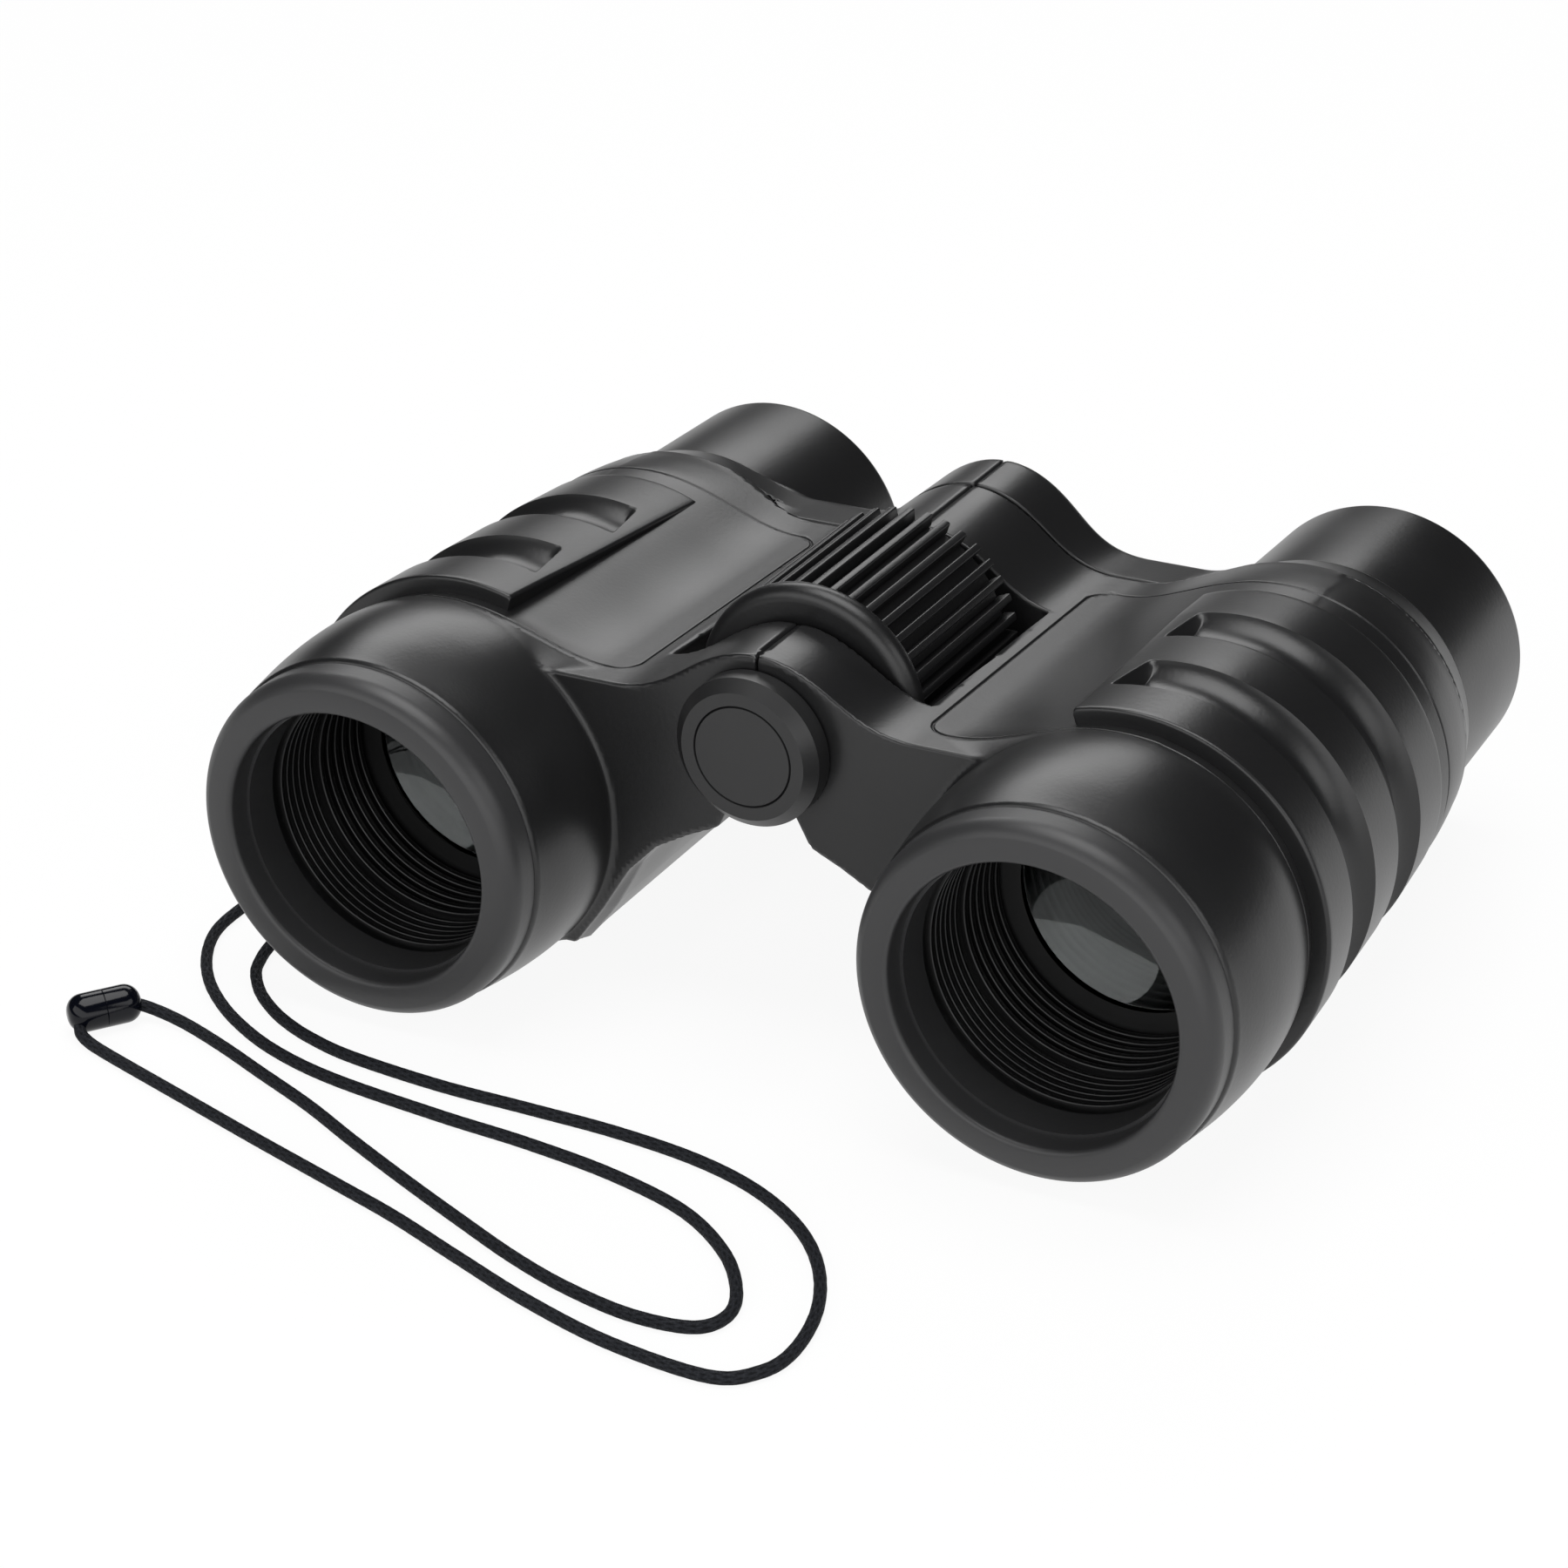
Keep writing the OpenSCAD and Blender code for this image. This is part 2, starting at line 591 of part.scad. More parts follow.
// Ribbed focus wheel with a rounded front flange
module focus_wheel() {
    flange_end = flange_start + flange_len;
    front_rim = arc([flange_r - flange_round, flange_start + flange_round], flange_round, -90, 0);
    rear_rim = arc([flange_r - flange_round, flange_end - flange_round], flange_round, 0, 90);
    color("#2b2b2d")
        difference() {
            union() {
                hinge_turned(concat(
                    [[0, wheel_start], [hub_r, wheel_start], [hub_r, flange_start]], front_rim, rear_rim,
                    [[drum_r, flange_end], [drum_r, wheel_end], [hub_r, wheel_end]],
                    [[hub_r, hub_end], [0, hub_end]]
                ));
                for (i = [0 : rib_count - 1])
                    translate([0, front_y + flange_start + flange_len / 2, hinge_z])
                        rotate([0, 360 * i / rib_count, 0])
                            translate([drum_r - rib_w, 0, -rib_w / 2])
                                cube([rib_r - drum_r + rib_w, wheel_len - flange_len / 2, rib_w]);
            }
            hinge_rod(pin_r + running_gap, wheel_start - overrun, insert_start + overrun);
            hinge_rod(insert_r, insert_start, hub_end + overrun);
        }
}

// Threaded insert in the wheel that drives the spindle
module wheel_thread_insert() {
    color("#b59a52")
        hinge_turned([
            [pin_r + running_gap, insert_start], [insert_r, insert_start],
            [insert_r, hub_end], [pin_r + running_gap, hub_end]
        ]);
}

// Spindle that carries both ocular arms backwards as the wheel turns
module focus_spindle() {
    color("#b9bcc0") hinge_rod(pin_r, spindle_start, spindle_end);
}

// Cap on the rear end of the spindle
module spindle_cap() {
    color("#2b2b2d")
        hinge_turned([
            [pin_r, spindle_cap_start], [spindle_cap_r, spindle_cap_start],
            [spindle_cap_r, spindle_end], [spindle_cap_r - cap_bevel, spindle_cap_start + spindle_cap_len],
            [0, spindle_cap_start + spindle_cap_len], [0, spindle_end], [pin_r, spindle_end]
        ]);
}

// Eyelet for the neck cord on the outer underside of the left bell
module strap_lug() {
    color("#343436")
        difference() {
            translate([-barrel_x, front_y + lug_station, axis_height])
                rotate([0, -lug_angle, 0]) {
                    translate([lug_center_r, 0, 0])
                        rotate([-90, 0, 0])
                            cylinder(r = lug_r, h = lug_len, $fn = fine);
                    translate([bell_rear_r - lug_wall, 0, -lug_r])
                        cube([lug_center_r - bell_rear_r + lug_wall, lug_len, 2 * lug_r]);
                }
            turned(left, concat([[0, bezel_len]], barrel_outline(), [[0, barrel_end]]));
            translate([-barrel_x, front_y + lug_station - overrun, axis_height])
                rotate([0, -lug_angle, 0])
                    translate([lug_center_r, 0, 0])
                        rotate([-90, 0, 0])
                            cylinder(r = lug_hole_r, h = lug_len + 2 * overrun, $fn = fine);
        }
}

// Direction of a route at one of its points
function heading(route, i) =
    let (a = route[max(i - 1, 0)], b = route[min(i + 1, len(route) - 1)]) (b - a) / norm(b - a);

// Ring of points round a route point, square to the route
function cord_ring(route, i) =
    let (
        t = heading(route, i),
        side = cross(t, [0, 0, 1]) / norm(cross(t, [0, 0, 1])),
        up = cross(side, t)
    )
        [
            for (k = [0 : cord_sides - 1])
                let (a = 360 * k / cord_sides) route[i] + cord_r * (cos(a) * side + sin(a) * up)
        ];

// Round tube swept along a route
module cord_tube(route) {
    n = len(route);
    m = cord_sides;
    points = [for (i = [0 : n - 1]) each cord_ring(route, i)];
    walls = [
        for (i = [0 : n - 2])
            for (k = [0 : m - 1])
                let (a = i * m + k, b = i * m + (k + 1) % m)
                    each [[a, a + m, b], [b, a + m, b + m]]
    ];
    caps = [
        for (k = [1 : m - 2])
            each [[0, k, k + 1], [(n - 1) * m, (n - 1) * m + k + 1, (n - 1) * m + k]]
    ];
    polyhedron(points, concat(walls, caps));
}

// First strand of the neck cord, out of the back of the lug
module strap_cord_a() {
    color("#15171c") cord_tube(route_a);
}

// Second strand of the neck cord, out of the front of the lug
module strap_cord_b() {
    color("#15171c") cord_tube(route_b);
}

// Hole for the end of a strand, with a little room behind the end
module cord_hole(route) {
    n = len(route);
    run = route[n - 2] - route[n - 1];
    steepness = acos(run.z / norm(run));
    translate(route[n - 1])
        rotate([0, steepness, atan2(run.y, run.x)])
            translate([0, 0, -running_gap])
                cylinder(r = cord_r + running_gap, h = norm(run) + overrun, $fn = fine);
}

// One half of the clasp capsule, which starts at the middle seam and holds the end of a strand
module clasp_half(turn, route) {
    round_r = clasp_r - clasp_face_r;
    color("#101218")
        difference() {
            translate(clasp_center)
                rotate([0, 0, turn])
                    rotate([0, 90, 0])
                        rotate_extrude($fn = fine)
                            polygon(concat(
                                [[0, 0], [clasp_r, 0]],
                                arc([clasp_face_r, clasp_half_len - round_r], round_r, 0, 90),
                                [[0, clasp_half_len]]
                            ));
            cord_hole(route);
        }
}

// Clasp half on the end of the second strand
module clasp_socket() {
    clasp_half(clasp_turn + 180, route_b);
}

// Clasp half on the end of the first strand
module clasp_plug() {
    clasp_half(clasp_turn, route_a);
}

body_shell(left);  // left_body_shell
body_shell(right);  // right_body_shell
objective_bezel(left);  // left_objective_bezel
objective_bezel(right);  // right_objective_bezel
baffle_tube(left);  // left_baffle_tube
baffle_tube(right);  // right_baffle_tube
objective_lens(left);  // left_objective_lens
objective_lens(right);  // right_objective_lens
lens_retainer(left);  // left_lens_retainer
lens_retainer(right);  // right_lens_retainer
finger_grip(left);  // left_finger_grip
finger_grip(right);  // right_finger_grip
ocular_arm(left);  // left_ocular_arm
ocular_arm(right);  // right_ocular_arm
eyepiece_tube(left);  // left_eyepiece_tube
eyepiece_tube(right);  // right_eyepiece_tube
eye_lens(left);  // left_eye_lens
eye_lens(right);  // right_eye_lens
eye_lens_ring(left);  // left_eye_lens_ring
eye_lens_ring(right);  // right_eye_lens_ring
hinge_pin();
hinge_cap();
hinge_bush();
focus_wheel();
wheel_thread_insert();
focus_spindle();
spindle_cap();
strap_lug();
strap_cord_a();
strap_cord_b();
clasp_socket();
clasp_plug();
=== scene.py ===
import json
import math

import bmesh
import bpy
import numpy as np
from mathutils import Matrix, Vector


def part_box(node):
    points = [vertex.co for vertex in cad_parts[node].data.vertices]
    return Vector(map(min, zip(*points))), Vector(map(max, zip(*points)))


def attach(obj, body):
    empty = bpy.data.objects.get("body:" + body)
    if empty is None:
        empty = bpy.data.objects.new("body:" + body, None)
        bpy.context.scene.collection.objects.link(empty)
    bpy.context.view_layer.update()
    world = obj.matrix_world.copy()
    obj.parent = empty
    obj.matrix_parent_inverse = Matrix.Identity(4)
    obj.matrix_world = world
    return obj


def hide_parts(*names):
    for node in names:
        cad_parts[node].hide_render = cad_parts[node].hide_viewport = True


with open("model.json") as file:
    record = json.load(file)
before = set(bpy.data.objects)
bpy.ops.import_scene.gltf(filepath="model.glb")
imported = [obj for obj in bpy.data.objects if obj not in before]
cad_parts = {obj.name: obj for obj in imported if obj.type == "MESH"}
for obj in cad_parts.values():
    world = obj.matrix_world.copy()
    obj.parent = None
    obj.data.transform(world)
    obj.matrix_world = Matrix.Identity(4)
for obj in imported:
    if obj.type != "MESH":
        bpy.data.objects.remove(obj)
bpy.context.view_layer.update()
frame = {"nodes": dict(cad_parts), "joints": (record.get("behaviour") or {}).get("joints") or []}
nodes = frame["nodes"]
print("frame loaded,", len(nodes), "nodes")

# Lengths below are millimetres; stations run back along a barrel from the bezel face
mm = 0.001
ringLow, ringHigh = (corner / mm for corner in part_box("right_objective_bezel"))
barrelX = (ringLow.x + ringHigh.x) / 2
axisZ = (ringLow.z + ringHigh.z) / 2
frontY = ringLow.y
hingeZ = next(j for j in frame["joints"] if j["name"] == "bridge_fold")["pos_m"][2] / mm
hingeRise = hingeZ - axisZ
sideSigns = {"left": -1, "right": 1}


# Camera

viewSpec = {"azimuth": 28.53, "elevation": 26.49, "roll": -1.78, "distance": 369.99, "target": (0, -5.25, 17.4),
            "lens": 94.583, "sensor": 36, "shift": (-0.05292, -0.01386), "clip": (0.01, 20)}


def addCamera(spec):
    azimuth, elevation, roll = (math.radians(spec[k]) for k in ("azimuth", "elevation", "roll"))
    back = Vector((math.sin(azimuth) * math.cos(elevation),
                   -math.cos(azimuth) * math.cos(elevation), math.sin(elevation)))
    level = Vector((math.cos(azimuth), math.sin(azimuth), 0))
    upright = back.cross(level)
    right = math.cos(roll) * level + math.sin(roll) * upright
    up = math.cos(roll) * upright - math.sin(roll) * level
    place = Matrix((right, up, back)).transposed().to_4x4()
    place.translation = (Vector(spec["target"]) + back * spec["distance"]) * mm
    data = bpy.data.cameras.new("productCamera")
    data.sensor_width, data.lens = spec["sensor"], spec["lens"]
    data.shift_x, data.shift_y = spec["shift"]
    data.clip_start, data.clip_end = spec["clip"]
    camera = bpy.data.objects.new("productCamera", data)
    camera.matrix_world = place
    bpy.context.scene.collection.objects.link(camera)
    bpy.context.scene.camera = camera


addCamera(viewSpec)


# Shared shader effects

def newGroup(name, inputs, outputs):
    group = bpy.data.node_groups.new(name, "ShaderNodeTree")
    for label, value in inputs.items():
        socket = group.interface.new_socket(label, in_out="INPUT", socket_type="NodeSocketFloat")
        socket.default_value = value
    for label in outputs:
        group.interface.new_socket(label, in_out="OUTPUT", socket_type="NodeSocketFloat")
    return group, group.nodes.new("NodeGroupInput"), group.nodes.new("NodeGroupOutput")


def feed(tree, socket, value):
    # a socket takes a link or a plain value
    if isinstance(value, bpy.types.NodeSocket):
        tree.links.new(value, socket)
    else:
        socket.default_value = value


def mathNode(tree, operation, *values):
    node = tree.nodes.new("ShaderNodeMath")
    node.operation = operation
    for socket, value in zip(node.inputs, values):
        feed(tree, socket, value)
    return node.outputs[0]


def noiseNode(tree, scale, detail):
    node = tree.nodes.new("ShaderNodeTexNoise")
    tree.links.new(tree.nodes.new("ShaderNodeTexCoord").outputs["Object"], node.inputs["Vector"])
    feed(tree, node.inputs["Scale"], scale)
    node.inputs["Detail"].default_value = detail
    return node.outputs["Fac"]


grainSpec = {"scale": 2600.0, "detail": 3, "driftScale": 70.0, "driftDetail": 2}


def makeMouldGrain(spec):
    # fine spark texture of a moulding tool, with a slow drift of tone
    group, source, sink = newGroup("mouldGrain", {"Grain": spec["scale"], "Drift": spec["driftScale"]},
                                   ["Height", "Tone"])
    group.links.new(noiseNode(group, source.outputs["Grain"], spec["detail"]), sink.inputs["Height"])
    group.links.new(noiseNode(group, source.outputs["Drift"], spec["driftDetail"]), sink.inputs["Tone"])
    return group


mouldGrain = makeMouldGrain(grainSpec)
noiseRange = (0.3, 0.7)


def newMaterial(name, group):
    material = bpy.data.materials.new(name)
    material.use_nodes = True
    tree = material.node_tree
    effect = tree.nodes.new("ShaderNodeGroup")
    effect.node_tree = group
    return material, tree, effect.outputs, tree.nodes["Principled BSDF"].inputs


def spread(tree, value, low, high):
    node = tree.nodes.new("ShaderNodeMapRange")
    labels = ("Value", "From Min", "From Max", "To Min", "To Max")
    for label, amount in zip(labels, (value, *noiseRange, low, high)):
        feed(tree, node.inputs[label], amount)
    return node.outputs["Result"]


def tint(tree, value, dark, light):
    node = tree.nodes.new("ShaderNodeMix")
    node.data_type = "RGBA"
    tree.links.new(value, node.inputs["Factor"])
    node.inputs["A"].default_value = (*dark, 1)
    node.inputs["B"].default_value = (*light, 1)
    return node.outputs["Result"]


def addBump(tree, height, inputs, distance, strength):
    bump = tree.nodes.new("ShaderNodeBump")
    bump.inputs["Distance"].default_value = distance
    bump.inputs["Strength"].default_value = strength
    tree.links.new(height, bump.inputs["Height"])
    tree.links.new(bump.outputs["Normal"], inputs["Normal"])


plasticLook = {"tones": (0.9, 1.1), "roughSpread": 0.03, "bump": 0.5}
metalLook = {"tones": (0.85, 1.0), "roughSpread": 0.08}
glassLook = {"tones": [(0.55, 0.58, 0.58), (0.6, 0.62, 0.62)], "Roughness": 0, "Transmission Weight": 1, "IOR": 1.6}
cordLook = {"strands": 8, "pitch": 1.6, "speckScale": 4000, "speckDetail": 2, "rough": (0.85, 0.6),
            "tones": [(0.0004, 0.0006, 0.0012), (0.02, 0.022, 0.028)],
            "bumpDepth": 0.00008, "bump": 1, "specular": 0.2}


def drifting(name, tone, rough, look):
    # a material whose tone and roughness drift slowly over the piece
    material, tree, effect, inputs = newMaterial(name, mouldGrain)
    tones = ([c * share for c in tone] for share in look["tones"])
    tree.links.new(tint(tree, effect["Tone"], *tones), inputs["Base Color"])
    limits = rough - look["roughSpread"], rough + look["roughSpread"]
    tree.links.new(spread(tree, effect["Tone"], *limits), inputs["Roughness"])
    return material, tree, effect, inputs


def plastic(name, tone, rough, grainDepth=0.00002, specular=0.5):
    material, tree, effect, inputs = drifting(name, tone, rough, plasticLook)
    addBump(tree, effect["Height"], inputs, grainDepth, plasticLook["bump"])
    inputs["Specular IOR Level"].default_value = specular
    return material


def metal(name, tone, rough):
    material, tree, effect, inputs = drifting(name, tone, rough, metalLook)
    inputs["Metallic"].default_value = 1
    return material


def glass(name, look):
    material, tree, effect, inputs = newMaterial(name, mouldGrain)
    tree.links.new(tint(tree, effect["Tone"], *look["tones"]), inputs["Base Color"])
    for label in ("Roughness", "Transmission Weight", "IOR"):
        inputs[label].default_value = look[label]
    return material


def makeBraid(look):
    # diagonal plait round a cord, from its own UV map: U round the cord, V along it in diameters
    group, source, sink = newGroup("cordBraid", {"Strands": look["strands"], "Pitch": look["pitch"]},
                                   ["Height", "fleckAndPitShade"])
    uv = group.nodes.new("ShaderNodeUVMap")
    uv.uv_map = "cordMap"
    parts = group.nodes.new("ShaderNodeSeparateXYZ")
    group.links.new(uv.outputs["UV"], parts.inputs["Vector"])
    turn = mathNode(group, "MULTIPLY", parts.outputs["X"], source.outputs["Strands"])
    run = mathNode(group, "DIVIDE", parts.outputs["Y"], source.outputs["Pitch"])
    lines = []
    for operation in ("ADD", "SUBTRACT"):
        phase = mathNode(group, "MULTIPLY", mathNode(group, operation, turn, run), math.pi)
        lines.append(mathNode(group, "ABSOLUTE", mathNode(group, "SINE", phase)))
    plait = mathNode(group, "MAXIMUM", *lines)
    speck = noiseNode(group, look["speckScale"], look["speckDetail"])
    group.links.new(plait, sink.inputs["Height"])
    # colour factor is the plait times fine noise: random flecks, with painted shade in the pits between the strands
    group.links.new(mathNode(group, "MULTIPLY", plait, speck), sink.inputs["fleckAndPitShade"])
    return group


def braided(name, look):
    material, tree, effect, inputs = newMaterial(name, makeBraid(look))
    # base colour from random flecks and from painted shade in the braid's pits
    tree.links.new(tint(tree, effect["fleckAndPitShade"], *look["tones"]), inputs["Base Color"])
    tree.links.new(spread(tree, effect["fleckAndPitShade"], *look["rough"]), inputs["Roughness"])
    addBump(tree, effect["Height"], inputs, look["bumpDepth"], look["bump"])
    inputs["Specular IOR Level"].default_value = look["specular"]
    return material


charcoal = {"tone": (0.009, 0.009, 0.0095), "rough": 0.33}
finish = {
    "body": plastic("charcoalShell", **charcoal),
    "bezel": plastic("greyBezel", (0.025, 0.025, 0.026), 0.42),
    "hood": plastic("blackHood", (0.003, 0.003, 0.0033), 0.35, 0.00001),
    "grip": plastic("charcoalGrip", **charcoal),
    "eyepiece": plastic("charcoalEyepiece", **charcoal),
    "cap": plastic("charcoalCap", (0.013, 0.013, 0.0135), 0.4),
    "wheel": plastic("darkWheel", (0.008, 0.008, 0.0085), 0.36),
    "clasp": plastic("glossClasp", (0.002, 0.0025, 0.005), 0.16, 0.000004, 0.25),
    "steel": metal("turnedSteel", (0.55, 0.55, 0.56), 0.35),
    "brass": metal("turnedBrass", (0.6, 0.45, 0.2), 0.35),
    "glass": glass("lensGlass", glassLook),
    "cord": braided("blackCord", cordLook),
}
print("materials:", len(finish))


# Mesh helpers

def addPiece(name, points, faces, material, sharpAngle=40, normals=None):
    mesh = bpy.data.meshes.new(name)
    mesh.from_pydata(np.asarray(points, float).tolist(), [], faces)
    mesh.transform(Matrix.Scale(mm, 4))
    mesh.materials.append(material)
    mesh.shade_smooth()
    if normals is not None:
        mesh.normals_split_custom_set_from_vertices(np.asarray(normals, float).tolist())
    elif sharpAngle:
        mesh.set_sharp_from_angle(angle=math.radians(sharpAngle))
    piece = bpy.data.objects.new(name, mesh)
    bpy.context.scene.collection.objects.link(piece)
    return piece


def settle(piece, bodyName, slotName, *stoodFor):
    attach(piece, bodyName)
    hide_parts(*stoodFor)
    return piece


def arcPoints(centre, radius, start, end, steps=8):
    angles = np.radians(np.linspace(start, end, steps + 1))
    return [(centre[0] + radius * math.cos(a), centre[1] + radius * math.sin(a)) for a in angles]


def turned(outline, steps=160):
    # closed outline of (radius, station) spun round the Y axis through the origin
    points, rings, faces = [], [], []
    for radius, station in outline:
        if radius < 1e-6:
            rings.append([len(points)] * steps)
            points.append((0, station, 0))
        else:
            rings.append(range(len(points), len(points) + steps))
            points += [(radius * math.sin(2 * math.pi * k / steps), station,
                        radius * math.cos(2 * math.pi * k / steps)) for k in range(steps)]
    area = sum(a[0] * b[1] - b[0] * a[1] for a, b in zip(outline, outline[1:] + outline[:1]))
    for lower, upper in zip(rings, rings[1:] + rings[:1]):
        for k in range(steps):
            n = (k + 1) % steps
            face = list(dict.fromkeys((lower[k], upper[k], upper[n], lower[n])))
            if len(face) > 2:
                faces.append(face[::-1] if area > 0 else face)
    return np.array(points, float), faces


def placed(shape, x, z):
    points, faces = shape
    return points + np.array((x, frontY, z)), faces


# Neck cord

cordSpec = {
    "radius": 0.55, "step": 0.2, "roundSteps": 20, "curveSteps": 40, "plait": 0.07,
    "a": [(-46.8, -23.8, 4.55), (-46.8, -21.4, 4.5), (-47.7, -19.2, 4), (-49.8, -18, 3),
          (-52.2, -18.4, 1.9), (-54, -20.4, 1.1), (-54.9, -23.4, 0.65), (-55.1, -27), (-54.8, -30.8),
          (-53.5, -34.2), (-51.1, -37.8), (-47.8, -41.1), (-43.2, -44.3), (-37.2, -47.1), (-29.6, -49),
          (-18, -50.2), (-8.8, -50.8), (0.3, -52), (8.4, -54.3), (14.4, -58.2), (18, -62.6), (19, -66),
          (17.3, -68.4), (12, -69), (5.5, -67.9), (-0.6, -66), (-7.5, -63.2), (-14.8, -60.1), (-22.2, -56.8),
          (-29, -53.6), (-36.2, -50.7), (-41.4, -48.6), (-46, -47, 0.6), (-48.8, -46.5, 0.85),
          (-50.9, -46.6, 1.25), (-52.2, -47, 1.6)],
    "b": [(-46.8, -23.8, 4.55), (-46.8, -26.2, 4.5), (-47.1, -28, 3.7), (-47.7, -29.6, 2.2),
          (-48.2, -31.2, 1), (-48.2, -32.6, 0.6), (-47.8, -34), (-46.8, -36.2), (-44.6, -38.8),
          (-42.1, -40.8), (-39.2, -42.5), (-35.4, -44), (-30.2, -45.2), (-20.7, -46), (-11.7, -46),
          (-2.9, -46.1), (5.4, -47), (12.2, -49), (18, -52.4), (22.2, -56.8), (25, -62.2), (26, -67.8),
          (25, -71.4), (21.6, -73.6), (12.5, -73), (3.6, -70.8), (-4.8, -67.9), (-12.6, -65.1), (-20, -62.9),
          (-30, -60), (-40.6, -56.8), (-46.6, -55), (-50.5, -53.8), (-52.8, -53, 0.6), (-54.2, -52.3, 0.85),
          (-55, -51.3, 1.35)],
}
claspSpec = {"centre": (-53.95, -49.1, 1.75), "turn": 51.5, "radius": 1.75, "halfLength": 3.3,
             "face": 0.3, "seam": 0.05, "steps": 64}


def smoothRoute(route, spec):
    # curve through the points in equal steps, kept above the floor; points without a height lie on it
    route = np.array([(*point, spec["radius"])[:3] for point in route], float)
    ends = np.vstack([2 * route[0] - route[1], route, 2 * route[-1] - route[-2]])
    t = np.linspace(0, 1, spec["curveSteps"], endpoint=False)[:, None]
    runs = []
    for p0, p1, p2, p3 in zip(ends, ends[1:], ends[2:], ends[3:]):
        runs.append(0.5 * (2 * p1 + (p2 - p0) * t + (2 * p0 - 5 * p1 + 4 * p2 - p3) * t ** 2
                           + (3 * p1 - p0 - 3 * p2 + p3) * t ** 3))
    dense = np.vstack([*runs, route[-1:]])
    dense[:, 2] = np.maximum(dense[:, 2], spec["radius"])
    along = np.concatenate([[0], np.cumsum(np.linalg.norm(np.diff(dense, axis=0), axis=1))])
    places = np.linspace(0, along[-1], int(along[-1] / spec["step"]) + 1)
    return np.column_stack([np.interp(places, along, dense[:, k]) for k in range(3)]), along[-1]


def addStrand(name, route, spec):
    path, length = smoothRoute(route, spec)
    steps = spec["roundSteps"]
    heading = np.gradient(path, axis=0)
    heading /= np.linalg.norm(heading, axis=1)[:, None]
    across = np.cross(heading, (0, 0, 1))
    across /= np.linalg.norm(across, axis=1)[:, None]
    upward = np.cross(across, heading)
    turn = np.arange(steps) / steps
    run = np.linspace(0, length / (2 * spec["radius"]), len(path))
    u, v = np.meshgrid(turn * cordLook["strands"], run / cordLook["pitch"])
    plait = np.maximum(np.abs(np.sin(math.pi * (u + v))), np.abs(np.sin(math.pi * (u - v))))
    radius = spec["radius"] * (1 - spec["plait"] * (1 - plait))
    angle = 2 * math.pi * turn
    points = (path[:, None] + radius[..., None] * (np.cos(angle)[None, :, None] * across[:, None]
                                                    + np.sin(angle)[None, :, None] * upward[:, None]))
    count = len(path)
    faces, corners = [], []
    for i in range(count - 1):
        for k in range(steps):
            n = (k + 1) % steps
            faces.append((i * steps + k, i * steps + n, (i + 1) * steps + n, (i + 1) * steps + k))
            corners += [(k / steps, run[i]), ((k + 1) / steps, run[i]),
                        ((k + 1) / steps, run[i + 1]), (k / steps, run[i + 1])]
    for ring, order in ((0, -1), (count - 1, 1)):
        faces.append([ring * steps + k for k in range(steps)][::order])
        corners += [(k / steps, run[ring]) for k in range(steps)][::order]
    strand = addPiece(name, points.reshape(-1, 3), faces, finish["cord"], sharpAngle=None)
    layer = strand.data.uv_layers.new(name="cordMap")
    layer.data.foreach_set("uv", np.array(corners, np.float32).ravel())
    return strand, path, length


def addClaspHalf(name, spec, turn):
    bow = spec["radius"] - spec["face"]
    outline = ([(0, 0), (spec["radius"] - spec["seam"], 0), (spec["radius"], spec["seam"])]
               + arcPoints((spec["face"], spec["halfLength"] - bow), bow, 0, 90)
               + [(0, spec["halfLength"])])
    points, faces = turned(outline, spec["steps"])
    spin = np.array(Matrix.Rotation(math.radians(turn - 90), 3, "Z"))
    return addPiece(name, points @ spin.T + np.array(spec["centre"]), faces, finish["clasp"])


for strandName, claspName, turn in (("a", "plug", claspSpec["turn"]), ("b", "socket", claspSpec["turn"] + 180)):
    clasp = addClaspHalf("clasp" + claspName.title(), claspSpec, turn)
    settle(clasp, "left_half", "clasp", "clasp_" + claspName)
    strand, path, length = addStrand("cordStrand" + strandName.upper(), cordSpec[strandName], cordSpec)
    settle(strand, "left_half", "neck_cord", "strap_cord_" + strandName)
    print("cord strand", strandName, "is", round(length, 1), "mm long")


# Solid shapes from a distance rule

def softMax(a, b, blend):
    near = np.maximum(blend - np.abs(a - b), 0) / blend
    return np.maximum(a, b) + near * near * blend / 4


def softMin(a, b, blend):
    return -softMax(-a, -b, blend)


pullSpec = {"reach": 0.04, "leastSlope": 0.05, "leastStep": 1e-9, "cellShare": 0.5}


def slopeAt(rule, points):
    slope = np.empty_like(points)
    reach = pullSpec["reach"]
    for k in range(3):
        shift = np.zeros(3)
        shift[k] = reach
        slope[:, k] = (rule(*(points + shift).T) - rule(*(points - shift).T)) / (2 * reach)
    return slope


def pullToSurface(rule, points, cell, passes=4):
    for _ in range(passes):
        slope = slopeAt(rule, points)
        size = np.maximum((slope ** 2).sum(1), pullSpec["leastSlope"])
        step = -(rule(*points.T) / size)[:, None] * slope
        length = np.maximum(np.linalg.norm(step, axis=1)[:, None], pullSpec["leastStep"])
        points = points + step * np.minimum(1, pullSpec["cellShare"] * cell / length)
    return points


